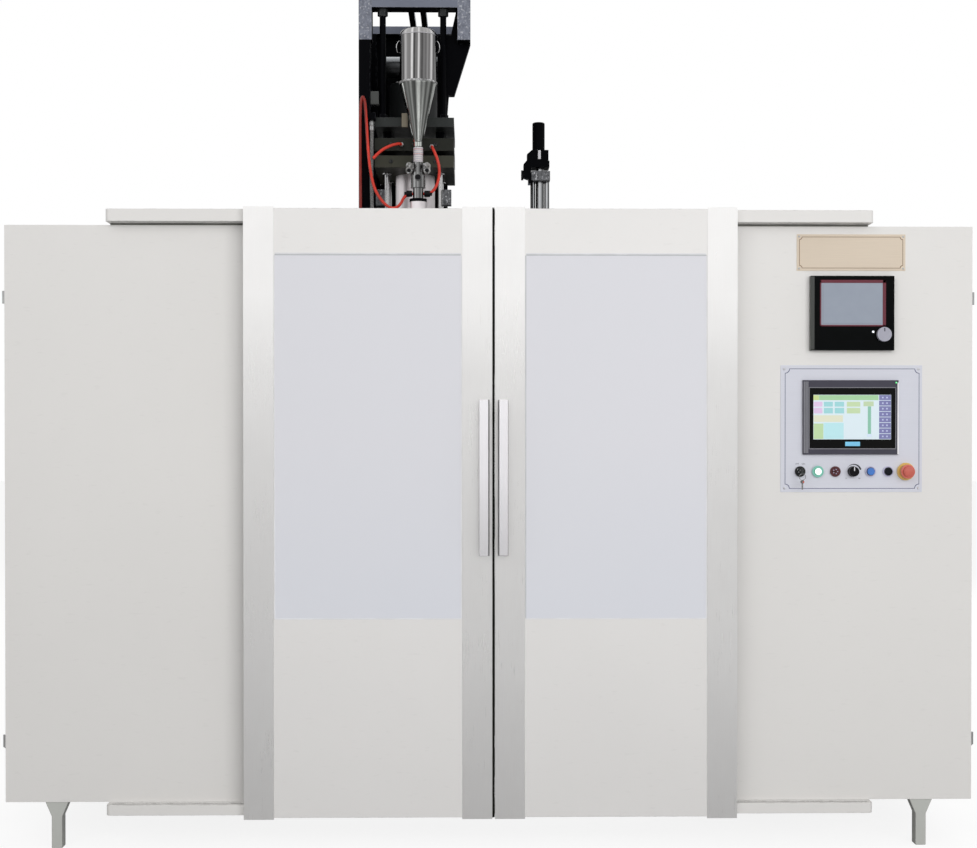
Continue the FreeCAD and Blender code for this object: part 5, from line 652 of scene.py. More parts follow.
def dressed(node, finish, width=0.8, angle=SHARP_ANGLE, segments=2, choose=None, around=(), cuts=()):
    """A copy of a CAD node with its edges rounded off, standing for the node.

    choose(x, depth, z, normal) gives the place of a face's finish among the words. around names the axes of the
    turned parts: a letter and the two places that fix it, (x, depth) for "Z" and (depth, z) for "X". cuts are
    the places, as ("X", x) or ("Z", z), where a flat face is divided because two finishes meet on it. Where
    bars meet face to face, an edge that more than two faces share stays sharp.
    """
    bm = bmesh.new()
    bm.from_mesh(frame["nodes"][node].data)
    bmesh.ops.remove_doubles(bm, verts=bm.verts, dist=SAME_POINT * MM)
    bmesh.ops.dissolve_limit(bm, angle_limit=math.radians(FLAT_ANGLE), verts=bm.verts, edges=bm.edges)
    round_layer = layers(bm)[1]
    if width:
        crowded = {vertex for edge in bm.edges if len(edge.link_faces) > 2 for vertex in edge.verts}
        soften(bm, [edge for edge in bm.edges if edge.calc_face_angle(0) > math.radians(angle)
                    and crowded.isdisjoint(edge.verts)], width, segments)
        bmesh.ops.dissolve_degenerate(bm, dist=SLIVER * MM, edges=bm.edges)
    for axis, place in cuts:
        bmesh.ops.bisect_plane(bm, geom=bm.verts[:] + bm.edges[:] + bm.faces[:], plane_co=at(place, 0, place),
                               plane_no=AXES[axis][0])
    for vertex in bm.verts if around else ():
        x, depth, z = in_millimetres(vertex.co)
        offsets = []
        for axis, first, second in around:
            side, back = (x - first, depth - second) if axis == "Z" else (z - second, depth - first)
            offsets.append((math.hypot(side, back), side))
        reach, side = min(offsets)
        vertex[round_layer] = side / reach if reach > ON_AXIS else 0.0
    for face in bm.faces:
        face.material_index = int(choose(*in_millimetres(face.calc_center_median()), face.normal)) if choose else 0
    piece = finished("dressed_" + node, bm, finish, BODY_OF[node])
    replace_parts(piece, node)
    return piece


def cord(name, radius, points, finish):
    """Round hose, conduit or wire on one smooth line through the air between its route's points."""
    curve = bpy.data.curves.new(name, "CURVE")
    curve.dimensions = "3D"
    curve.bevel_depth = radius * MM
    curve.bevel_resolution = 5
    curve.use_fill_caps = True
    spline = curve.splines.new("NURBS")
    spline.points.add(len(points) - 1)
    for control, point in zip(spline.points, points):
        control.co = (*at(*point), 1)
    spline.order_u = 3
    spline.use_endpoint_u = True
    spline.resolution_u = 10
    curve.materials.append(FINISH[finish])
    return shown(name, curve)


# ---------------------------------------------------------------- what repeats

class Pattern:
    """A Geometry Nodes tree that repeats a small piece, with named inputs for its sizes."""

    def __init__(self, name, inputs):
        self.tree = bpy.data.node_groups.new(name, "GeometryNodeTree")
        self.keys = {title: self.tree.interface.new_socket(name=title, in_out="INPUT",
                                                           socket_type="NodeSocket" + kind).identifier
                     for title, kind in inputs.items()}
        self.tree.interface.new_socket(name="Geometry", in_out="OUTPUT", socket_type="NodeSocketGeometry")
        self.given = self.tree.nodes.new("NodeGroupInput").outputs

    def node(self, kind, settings, sockets, out=0):
        made = self.tree.nodes.new(kind)
        for key, value in settings.items():
            setattr(made, key, value)
        for key, value in sockets.items():
            if isinstance(value, bpy.types.NodeSocket):
                self.tree.links.new(value, made.inputs[key])
            else:
                made.inputs[key].default_value = value
        return made.outputs[out]

    def place(self, points):
        """Puts the small piece on each point, turned a little at random, and makes one finished mesh."""
        small = self.node("GeometryNodeObjectInfo", {}, {"Object": self.given["Small piece"]}, "Geometry")
        back = self.node("ShaderNodeVectorMath", {"operation": "SCALE"}, {0: self.given["Turn"], "Scale": -1.0})
        turn = self.node("FunctionNodeRandomValue", {"data_type": "FLOAT_VECTOR"},
                         {"Min": back, "Max": self.given["Turn"], "Seed": self.given["Seed"]})
        placed = self.node("GeometryNodeInstanceOnPoints", {},
                           {"Points": points, "Instance": small, "Rotation": turn})
        real = self.node("GeometryNodeRealizeInstances", {}, {"Geometry": placed})
        coated = self.node("GeometryNodeSetMaterial", {}, {"Geometry": real, "Material": self.given["Finish"]})
        out = self.tree.nodes.new("NodeGroupOutput")
        self.tree.links.new(coated, out.inputs[0])

    def made(self, name, small, finish, body, **values):
        """Runs the tree once and keeps the plain mesh as a piece."""
        pattern_piece = linked("small_piece", as_mesh("small_piece", small))
        host = linked("host", bpy.data.meshes.new("host"))
        modifier = host.modifiers.new("pattern", "NODES")
        modifier.node_group = self.tree
        values.update({"Small piece": pattern_piece, "Finish": FINISH[finish]})
        for title, value in values.items():
            modifier[self.keys[title.replace("_", " ")]] = value
        graph = bpy.context.evaluated_depsgraph_get()
        result = bpy.data.meshes.new_from_object(host.evaluated_get(graph), depsgraph=graph)
        host.modifiers.clear()
        for item in (host, pattern_piece):
            bpy.data.objects.remove(item)
        result.name = name
        return shown(name, result, body)


def rows_pattern():
    pattern = Pattern("rows_of_small_pieces", {
        "Small piece": "Object", "Start": "Vector", "Columns": "Int", "Column step": "Vector", "Rows": "Int",
        "Row step": "Vector", "Turn": "Vector", "Seed": "Int", "Finish": "Material"})
    given = pattern.given
    first = pattern.node("GeometryNodeMeshLine", {"mode": "OFFSET"},
                         {"Count": given["Columns"], "Start Location": given["Start"],
                          "Offset": given["Column step"]})
    second = pattern.node("GeometryNodeMeshLine", {"mode": "OFFSET"},
                          {"Count": given["Rows"], "Offset": given["Row step"]})
    crossed = pattern.node("GeometryNodeInstanceOnPoints", {}, {"Points": first, "Instance": second})
    pattern.place(pattern.node("GeometryNodeRealizeInstances", {}, {"Geometry": crossed}))
    return pattern


def ring_pattern():
    pattern = Pattern("ring_of_small_pieces", {
        "Small piece": "Object", "Centre": "Vector", "Tilt": "Vector", "Count": "Int", "Radius": "Float",
        "Turn": "Vector", "Seed": "Int", "Finish": "Material"})
    given = pattern.given
    circle = pattern.node("GeometryNodeMeshCircle", {}, {"Vertices": given["Count"], "Radius": given["Radius"]})
    pattern.place(pattern.node("GeometryNodeTransform", {}, {"Geometry": circle, "Translation": given["Centre"],
                                                             "Rotation": given["Tilt"]}))
    return pattern


ROWS = rows_pattern()
RING = ring_pattern()


def in_rows(name, small, finish, start, body="machine", columns=1, across=0.0, rows=1, up=0.0,
            turn=(0.0, 0.0, 0.0), seed=1):
    return ROWS.made(name, small, finish, body, Start=list(at(*start)), Columns=columns,
                     Column_step=[across * MM, 0.0, 0.0], Rows=rows, Row_step=[0.0, 0.0, up * MM],
                     Turn=list(turn), Seed=seed)


def in_ring(name, small, finish, centre, radius, count, tilt=(0.0, 0.0, 0.0), turn=(0.0, 0.0, 0.0)):
    return RING.made(name, small, finish, "machine", Centre=list(at(*centre)), Tilt=list(tilt), Count=count,
                     Radius=radius * MM, Turn=list(turn), Seed=1)


def cap_screw(radius, height, axis="Z"):
    """Socket-head cap screw with its hexagon socket, standing on the origin."""
    return lathe([(0, height * 0.35), (radius * 0.5, height * 0.35), (radius * 0.52, height * 0.95),
                  (radius * 0.62, height), (radius * 0.9, height), (radius, height * 0.86), (radius, 0), (0, 0)],
                 axis=axis, steps=12)


def pan_screw(radius, height):
    """Pan-head screw facing forwards, with a dished middle."""
    return lathe([(0, height * 0.45), (radius * 0.3, height * 0.5), (radius * 0.42, height),
                  (radius * 0.72, height * 0.92), (radius, height * 0.35), (radius, 0), (0, 0)],
                 axis="-Y", steps=16)


def corner_screws(name, area, inset, face, screw, finish, seed):
    """One pan-head screw in each corner of a plate, each turned at random."""
    left, low = (limits[0] + inset for limits in area)
    right, high = (limits[1] - inset for limits in area)
    in_rows(name, screw, finish, (left, face, low), columns=2, across=right - left, rows=2, up=high - low,
            turn=(0.0, 0.8, 0.0), seed=seed)


# ---------------------------------------------------------------- guard and doors

HINGE_X = 1386.5
# The grey strips under the rails, a painted shadow line, span these places across.
RAIL_SHADOW_STRIP_X = (702, 1084)
# Across these limits the handles' faces get painted shade.
HANDLE_PAINTED_SHADE_X = (-8.0, 23.0)
BRUSH_X = (4.0, 10.4)
BRUSH_DEPTH = 9.0
BRUSH_PITCH = 4.0
BRUSH_TUFTS = 431
BRISTLE_REACH = (1.0, 0.92, 0.8, 0.96, 0.88)


def guard():
    """White sheet-metal guard, the steel knuckles and lock heads of its side doors, and grey strips under the door
    rails that are a painted shadow line.
    """
    def knuckle(x, depth, z, normal):
        return abs(x) > HINGE_X

    for node, width in (("left_front_panel", 1.2), ("right_front_panel", 1.2), ("left_side_door", 0.8),
                        ("right_side_door", 0.8)):
        dressed(node, "cabinet_paint plain_steel", width, choose=knuckle)
    for node in ("left_enclosure", "control_cabinet"):
        dressed(node, "cabinet_paint")
    dressed("guard_legs", "leg_paint", 2.0)
    dressed("door_rails", "cabinet_paint", 1.0, angle=50.0)
    # Grey strips between the panels' tops and the door rails are a painted shadow line.
    built("rail_seals", "rail_seal", [slab(sorted(side * x for x in RAIL_SHADOW_STRIP_X), (71.5, 92), (1780.2, 1785.8), 0.5)
                                      for side in (-1, 1)])


def bristle_tuft():
    """Five flat bristles that reach across the seam, the middle one shorter."""
    width = BRUSH_X[1] - BRUSH_X[0]
    bristles = []
    for step, reach in enumerate(BRISTLE_REACH):
        part = bmesh.new()
        bmesh.ops.create_cube(part, size=1.0)
        for vertex in part.verts:
            x, y, z = vertex.co
            tip = 0.5 if x > 0 else 1.0
            vertex.co = Vector(((x + 0.5) * width * reach, y * 2.0 * tip + (step - 2) * 2.4, z * 2.9 * tip)) * MM
        bristles.append(part)
    return joined(bristles)


def sliding_doors():
    """Two doors: white leaf, brushed stiles, frosted window in its gasket with a pale strip above it as a painted
    highlight, bar handle with painted shade on its sides and underside, and the seam's brush.
    """
    # The handle's sides, underside and the faces inside the X limits get a dark tone: painted shade.
    def handle_side(x, depth, z, normal):
        return HANDLE_PAINTED_SHADE_X[0] < x < HANDLE_PAINTED_SHADE_X[1] or abs(normal.x) > 0.3 or normal.z < -0.5

    for side in ("left", "right"):
        dressed(f"{side}_door_leaf", "door_paint", 1.0)
        dressed(f"{side}_door_stiles", "door_steel", 0.7)
        dressed(f"{side}_door_handle", "handle_steel handle_side", 1.8, 50.0, 3, handle_side,
                cuts=[("X", x) for x in HANDLE_PAINTED_SHADE_X])
        dressed(f"{side}_door_window", "frosted_window", 0.5)
        low, high = (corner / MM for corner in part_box(f"{side}_door_window"))
        lips = [slab(across, (1.4, 2.6), up, 0.3, index) for across, up, index in (
            ((low.x - 2.6, low.x + 0.4), (low.z, high.z), 0 if side == "right" else 1),
            ((high.x - 0.4, high.x + 2.6), (low.z, high.z), 1),
            ((low.x, high.x), (low.z - 2.4, low.z + 0.6), 1),
            ((low.x, high.x), (high.z - 0.6, high.z + 3.2), 0))]
        # The pale strip above the window's top gasket is a painted highlight.
        lips.append(slab((low.x, high.x), (1.2, 2.6), (high.z + 3.4, high.z + 7.0), 0.5, 1))
        built(f"{side}_window_gasket", "window_gasket pale_gasket", lips, f"{side}_sliding_door")
    built("seam_brush_strip", "brush_bristle", slabs((BRUSH_X, (15.4, 18.0), (101, 1820), 0.5)), "left_sliding_door")
    in_rows("seam_brush_tufts", bristle_tuft(), "brush_bristle", (BRUSH_X[0], BRUSH_DEPTH, 101.5),
            "left_sliding_door", rows=BRUSH_TUFTS, up=BRUSH_PITCH, turn=(0.12, 0.10, 0.16), seed=7)


# ---------------------------------------------------------------- operator station

PANEL_FACE = 70.0
PLATE = ((832.0, 1240.0), (1018.0, 1382.0))
PLATE_FACE = 68.0
NAMEPLATE_AREA = ((878.0, 1191.0), (1653.0, 1757.5))
NAMEPLATE_FACE = PANEL_FACE - 2.0
SCREEN_FACE = 59.0
SCREEN_GROUND = SCREEN_FACE - 0.9
SCREEN_LEFT = 924.6
SCREEN_TOP = 1296.9

# Trim of the touch screen: the ribbed left side, the bevel, a white strip at the right edge that is a painted
# highlight, the black glass and a blue strip.
SCREEN_TRIM = (
    ((895.6, 911.0), (58.6, 62), (1128, 1337), 0.4, 0), ((896.8, 901.2), (57.8, 61), (1130, 1335), 0.4, 1),
    ((902.2, 905.8), (57.8, 61), (1130, 1335), 0.4, 1), ((906.8, 910.2), (57.8, 61), (1130, 1335), 0.4, 1),
    ((911.4, 913.6), (58.0, 60), (1141, 1319), 0.3, 1), ((1160.6, 1162.6), (58.0, 60), (1141, 1319), 0.3, 1),
    ((911.4, 1162.6), (58.0, 60), (1316.6, 1318.6), 0.3, 1), ((911.4, 1162.6), (58.0, 60), (1141, 1143.4), 0.3, 1),
    ((1166.6, 1170.6), (58.4, 66), (1126.6, 1332), 0.5, 2), ((913, 1161.0), (58.3, 60.2), (1143, 1317), 0.3, 3),
    ((1016.2, 1058.7), (58.0, 59), (1150, 1162.4), 0.3, 4))

# The screen's plain blocks: left, right, top and bottom from its top left corner, and a colour.
SCREEN_BLOCKS = (
    ((0.0, 16.0), (1.0, 15.3), (0.48, 0.58, 0.22)), ((16.4, 187.0), (1.0, 15.3), (0.30, 0.52, 0.28)),
    ((0.8, 25.9), (20.0, 33.8), (0.62, 0.46, 0.66)), ((0.8, 25.9), (37.5, 53.3), (0.62, 0.46, 0.66)),
    ((30.0, 56.0), (20.0, 33.8), (0.27, 0.56, 0.58)), ((61.2, 88.2), (20.0, 33.8), (0.27, 0.56, 0.58)),
    ((30.0, 56.0), (37.5, 53.3), (0.27, 0.56, 0.58)), ((61.2, 88.2), (37.5, 53.3), (0.27, 0.56, 0.58)),
    ((96.0, 134.6), (20.0, 33.8), (0.46, 0.59, 0.34)), ((96.0, 134.6), (37.5, 53.3), (0.46, 0.59, 0.34)),
    ((144.0, 173.2), (19.0, 32.7), (0.44, 0.56, 0.35)), ((156.3, 165.8), (33.2, 112.0), (0.20, 0.45, 0.33)),
    ((154.0, 168.0), (112.4, 121.0), (0.56, 0.66, 0.78)), ((0.8, 85.0), (58.6, 77.6), (0.63, 0.64, 0.49)),
    ((0.8, 28.6), (82.4, 126.5), (0.42, 0.58, 0.31)), ((29.4, 87.0), (80.3, 126.5), (0.41, 0.67, 0.71)))
KEY_ROWS = 8
KEY_ROW_HEIGHT = 15.9
KEY_MARK_X = (199.5, 211.5)

CONTROL_PITCH = 50.7
CONTROL_X = [888.0 + CONTROL_PITCH * place for place in range(7)]
KEY_X, GREEN_X, BUZZER_X, SPEED_X, BLUE_X, BLACK_X, STOP_X = CONTROL_X
CONTROL_Z = 1077.0
BEZEL_FACE = 62.0
DISPLAY_KNOB = (1123.0, 1469.0)
BUZZER_HOLES = 5
BUZZER_HOLE_R = 6.2
SCALE_STEPS = 33
SCALE_R = 20.5
SPARE_RING_Z = CONTROL_Z - 15.0


def bare_nameplate():
    """Brass-coloured plate over the controls, left bare inside its line."""
    across, up = NAMEPLATE_AREA
    built("nameplate", "nameplate_brass", slabs((across, (NAMEPLATE_FACE, PANEL_FACE), up, 0.7)))
    across, up = ((low + 7, high - 7) for low, high in NAMEPLATE_AREA)
    built("nameplate_line", "brown_line", [notched_line(across, up, NAMEPLATE_FACE, 7.5, 1.5, 0.25)])
    corner_screws("nameplate_screws", NAMEPLATE_AREA, 6.5, NAMEPLATE_FACE, pan_screw(3.0, 1.4), "plain_steel", 3)


def touch_screen():
    """Stepped grey housing with a ribbed left side, black glass and a lit picture of plain blocks."""
    def lit(left, right, top, bottom, front, back, colour):
        return slab((SCREEN_LEFT + left, SCREEN_LEFT + right), (SCREEN_GROUND - front, SCREEN_GROUND - back),
                    (bottom, top), 0, lit=colour)

    dressed("hmi", "dark_plastic", 1.6)
    built("screen_housing_trim", "dark_plastic rib_plastic white_plastic panel_glass plain_blue_strip",
          slabs(*SCREEN_TRIM))
    picture = [lit(0, 223.4, SCREEN_TOP, SCREEN_TOP - 127.7, 0, -0.3, (0.60, 0.70, 0.75))]
    for (left, right), (top, bottom), colour in SCREEN_BLOCKS:
        picture.append(lit(left, right, SCREEN_TOP - top, SCREEN_TOP - bottom, 0.15, 0, colour))
    for row in range(KEY_ROWS):
        top = SCREEN_TOP - row * KEY_ROW_HEIGHT - 0.7
        picture.append(lit(189, 222.8, top, top - KEY_ROW_HEIGHT + 1.5, 0.2, 0, (0.14, 0.14, 0.33)))
        picture += [lit(x - 2.2, x + 2.2, top - 5.0, top - 9.4, 0.35, 0.2, (0.42, 0.46, 0.64)) for x in KEY_MARK_X]
    built("screen_picture", "lit_screen", picture)
    built("panel_lamps", "lit_lamp", [
        rod(2.2, (1163.0, SCREEN_FACE, 1332.0), 1.0, "-Y", 0.4, 20, lit=(0.12, 0.90, 0.25)),
        rod(3.2, (1094.0, 50.0, 1477.0), 1.0, "-Y", 0.5, 24, lit=(0.92, 0.94, 1.0))])


def parison_display():
    """Glossy black housing with a grey left side, a dark red frame and a plain grey screen."""
    def left_side(x, depth, z, normal):
        return normal.x < -0.5 or x < 917.5

    dressed("parison_controller", "gloss_black housing_side", 2.2, segments=3, choose=left_side)
    built("display_frame", "frame_red housing_side", slabs(
        ((916.0, 925.5), (49.4, 51), (1426, 1635), 0.8, 1), ((941.4, 945), (49.5, 52), (1492.6, 1625), 0.4),
        ((1121.4, 1130.5), (49.5, 52), (1492.6, 1625), 0.4), ((941.4, 1130.5), (49.5, 52), (1616.4, 1625), 0.4),
        ((941.4, 1130.5), (49.5, 52), (1492.6, 1496.6), 0.4)))
    built("display_screen", "lit_screen", slabs(
        ((943.4, 1123.6), (51.0, 51.9), (1496, 1616.6), 0, 0, (0.215, 0.245, 0.300)),
        ((949, 1118), (50.85, 51.0), (1500, 1502), 0, 0, (0.18, 0.205, 0.25)),
        ((949, 951), (50.85, 51.0), (1502, 1612), 0, 0, (0.18, 0.205, 0.25))))
    dressed("controller_knob", "dial_grey knob_metal", 1.2, segments=3)
    x, z = DISPLAY_KNOB
    built("controller_knob_mark", "printed_ink", slabs(((x - 1.6, x + 1.6), (33.2, 34.4), (z + 8, z + 18), 0.4)),
          "controller_knob")


def panel_controls():
    """Row of controls: key, lit button, buzzer, speed knob, two buttons and the emergency stop."""
    def collar(x, depth, z, normal):
        place = round((x - KEY_X) / CONTROL_PITCH)
        return {2: 2, 4: 3, 5: 3, 6: 1}.get(place, 0) if depth < PLATE_FACE else 0

    dressed("control_bezels", "bezel_black yellow_collar buzzer_red pale_rim", 0.7, choose=collar)
    for node, finish, width, segments in (
            ("key_switch", "dark_steel", 0.4, 2), ("green_button", "green_lens", 0.8, 2),
            ("speed_knob", "black_plastic", 1.4, 3), ("blue_button", "blue_cap", 1.0, 2),
            ("black_button", "black_cap", 1.0, 2), ("estop_button", "red_cap", 3.0, 4)):
        dressed(node, finish, width, segments=segments)

    # Small metal slabs on the key switch's black face are painted glints.
    painted_glints = [slab([KEY_X + side for side in across], (BEZEL_FACE - 2.4, BEZEL_FACE),
                   [CONTROL_Z + side for side in up], 0.4)
              for across, up in (((-2, 8), (1, 5)), ((3, 8), (-6, -2)), ((-6, -3), (-3, 0)), ((-9, -7), (4, 8)))]
    rims = [ring(10.7, 12.2, (x, BEZEL_FACE, CONTROL_Z), 0.8, "-Y", index=1) for x in (BLUE_X, BLACK_X)]
    holes = [rod(1.5, (BUZZER_X + BUZZER_HOLE_R * math.cos(angle), BEZEL_FACE,
                       CONTROL_Z + BUZZER_HOLE_R * math.sin(angle)), 0.3, "-Y", 0.1, 12, 2)
             for angle in (math.tau * step / BUZZER_HOLES for step in range(BUZZER_HOLES))]
    built("control_rims", "knob_metal bezel_black pale_rim", painted_glints + rims + holes)
    built("lit_button_ring", "lit_lamp", [ring(10.8, 16.6, (GREEN_X, BEZEL_FACE + 0.4, CONTROL_Z), 1.4, "-Y",
                                               lit=(0.10, 0.30, 0.24))])
    built("lit_button_lens", "lit_lamp", [lathe([(0, 1.5), (6, 1.2), (9.6, 0.3), (9.6, 0), (0, 0)],
                                                (GREEN_X, BEZEL_FACE - 6, CONTROL_Z), "-Y", lit=(0.84, 0.97, 0.95))],
          "green_button")
    built("emergency_stop_dome", "red_cap", [lathe([(0, 3.4), (9, 2.6), (13.5, 0.8), (14.2, 0), (0, 0)],
                                                   (STOP_X, 30.1, CONTROL_Z), "-Y")], "estop_button")

    # The speed scale's arc thickens to the right.
    scale = []
    for step in range(SCALE_STEPS):
        angle = math.radians(160 - step * 4.4)
        x = SPEED_X + 3.0 + SCALE_R * math.cos(angle)
        z = CONTROL_Z + SCALE_R * math.sin(angle)
        size = 0.2 + step * 0.06
        scale.append(slab((x - size, x + size), (PLATE_FACE - 0.2, PLATE_FACE), (z - size, z + size), 0))
    built("panel_lettering", "printed_ink", scale + [
        words(text, x, PLATE_FACE - 0.1, CONTROL_Z + up) for text, x, up in (
            ("0", SPEED_X - 19, -22), ("10", SPEED_X + 19, -22), ("OFF", KEY_X - 8, 20), ("ON", KEY_X + 10, 20))])
    built("speed_knob_pointer", "white_plastic", slabs(
        ((SPEED_X - 1.2, SPEED_X + 1.2), (BEZEL_FACE - 17.9, BEZEL_FACE - 16.4), (CONTROL_Z + 2, CONTROL_Z + 13), 0.3)),
          "speed_knob")

    # The spare key hangs in its split ring from the key in the lock.
    wire = [(9.0 + 0.8 * math.cos(math.tau * step / 8), 0.8 * math.sin(math.tau * step / 8)) for step in range(8)]
    built("spare_key", "ground_steel red_cap", [
        lathe(wire, (KEY_X, 33.0, SPARE_RING_Z), "-Y", 40, loop=True),
        rod(5.5, (KEY_X, 34.2, SPARE_RING_Z - 14.0), 2.4, "-Y", 0.5, 32),
        slab((KEY_X + 1.0, KEY_X + 5.0), (31.6, 32.2), (SPARE_RING_Z - 17, SPARE_RING_Z - 12), 0.2, 1),
        slab((KEY_X - 2.2, KEY_X + 2.2), (32.2, 33.8), (SPARE_RING_Z - 36, SPARE_RING_Z - 18), 0.5)])


def operator_station():
    bare_nameplate()
    dressed("operator_plate", "plate_aluminium", 0.5)
    across = (PLATE[0][0] + 12.5, PLATE[0][1] - 8.0)
    up = (PLATE[1][0] + 9.5, PLATE[1][1] - 9.5)
    built("plate_line", "blue_line", [notched_line(across, up, PLATE_FACE, 12.5, 1.6, 0.2)])
    corner_screws("plate_screws", PLATE, 11.0, PLATE_FACE, pan_screw(3.6, 1.8), "knob_metal", 5)
    touch_screen()
    parison_display()
    panel_controls()


# ---------------------------------------------------------------- die head frame

TIE_RODS = tuple(("Z", x, depth) for x in (-317, -151) for depth in (480, 650))
JACK_BOLTS = (("Z", -326, 402), ("Z", -141, 402))
DIE_X = -232
DIE_DEPTH = 560
DIE_LINE = ("Z", DIE_X, DIE_DEPTH)
FLAME_CUT_X = (-358, -97.5)
FLAME_CUT_Z = 2387
FLAME_CUT_DEPTH = 377
BEAM_PAINT_Z = 2485.5
BOLT_PAINT_Z = 2036
PLATE_JOINTS_Z = (2046, 2123)
FEEDER_X = -215.0
FEEDER_DEPTH = 318.0
FEEDER_LINE = ("Z", FEEDER_X, FEEDER_DEPTH)


def die_head_frame():
    """Black welded frame: flame-cut gussets, grey-blue top beams, jack bolts and three head plates."""
    def frame_paint(x, depth, z, normal):
        outer = x < FLAME_CUT_X[0] or x > FLAME_CUT_X[1]
        if depth < FLAME_CUT_DEPTH and z > FLAME_CUT_Z and outer and normal.y < -0.6:
            return 2
        return z > BEAM_PAINT_Z and normal.z > -0.5

    def bolt_finish(x, depth, z, normal):
        if z > BOLT_PAINT_Z:
            return 3 if z > 2440 and depth < 430 else 1
        return 2 if 1896 < z < 1946 and not -326 < x < -142 else 0

    def plate_finish(x, depth, z, normal):
        return 1 if z > PLATE_JOINTS_Z[1] else 2 if z > PLATE_JOINTS_Z[0] else 0

    def drive_finish(x, depth, z, normal):
        return z > 2307 or x < -317 or x > -147

    dressed("head_frame", "black_paint beam_paint flame_cut_edge", 1.2, choose=frame_paint,
            cuts=[("Z", BEAM_PAINT_Z), ("Z", FLAME_CUT_Z)] + [("X", x) for x in FLAME_CUT_X])
    dressed("head_bolts", "chromed_rod black_paint cast_steel dark_steel", 0.6, choose=bolt_finish,
            around=TIE_RODS + JACK_BOLTS, cuts=[("Z", BOLT_PAINT_Z)])
    dressed("head_plates", "olive_steel plate_steel dark_olive_steel", 1.5, choose=plate_finish)
    # The die head's lit left side and shaded right side are painted shade in its finish.
    dressed("die_head", "heater_cover", 1.0, around=[DIE_LINE])
    dressed("parison_cylinder", "dark_steel drive_steel", 1.0, around=[("X", DIE_DEPTH, 2341)], choose=drive_finish)
    dressed("parison_rod", "chromed_rod", 0.4, around=[DIE_LINE])
    built("heat_shield", "black_paint", slabs(((-369, -132), (729, 732), (1830, 2000.5)),
                                              ((-369, -351), (729, 732), (1990, 2062))))
    in_ring("servo_cap_screws", cap_screw(5.5, 6.0), "plain_steel", (DIE_X, DIE_DEPTH, 2284), 68, 10,
            turn=(0, 0, 0.5))
    in_rows("head_plate_screws", cap_screw(5.5, 6.0, "-Y"), "dark_steel", (-300, 385, 2018), columns=3, across=68,
            rows=2, up=52)

    # A switch box on an angle from the left column, and a pale terminal block on the top plate.
    built("switch_boxes", "housing_side black_paint beige_box", slabs(
        ((-363, -337), (380, 405), (2191, 2231), 2.0), ((-361, -339), (378.6, 381), (2194, 2228), 0.8),
        ((-366, -358), (388, 402), (2186, 2236), 0.8, 1), ((-267, -249), (373, 385.6), (2121, 2163), 1.5, 2),
        ((-264, -252), (371.8, 374), (2127, 2157), 0.5, 2)))


LID_R = 18
LID_TURNED = [(55.5 - LID_R * (1 - math.cos(turn)), 2383 + LID_R * math.sin(turn))
              for turn in map(math.radians, range(0, 91, 10))]
HOPPER_PROFILE = [
    (0, 2050), (11.7, 2050), (12.5, 2051), (12.5, 2062), (13.4, 2066), (54.2, 2234), (55.5, 2238), (56.8, 2239),
    (57.5, 2240), (57.5, 2242.6), (56.8, 2243.6), (55.5, 2244.4), (55.5, 2380), (56.2, 2380.6), (56.2, 2382.2),
    (55.5, 2382.8), *LID_TURNED, (12, 2401.0), (11, 2404), (9, 2405), (0, 2405)]
CONE_TOP_Z = 2239
SEAM_SPAN = (2237.5, 2245.5)
LID_BEAD_SPAN = (2379.5, 2383)
LID_TOP_Z = 2399.5
YOKE_SPAN = (1984, 2002)
CLAMP_Z = 1909
YOKE_Z = 1976
FEED_RIB_PITCH = 6.4
FEED_LINES_Z = (2041.0, 2026.5)

# A lid clip's route, counted outwards from the hopper's side.
LID_CLIP = ((0, 310, 2366), (4, 308, 2364), (9, 306, 2352), (8, 308, 2338), (4, 312, 2330), (0, 314, 2332))


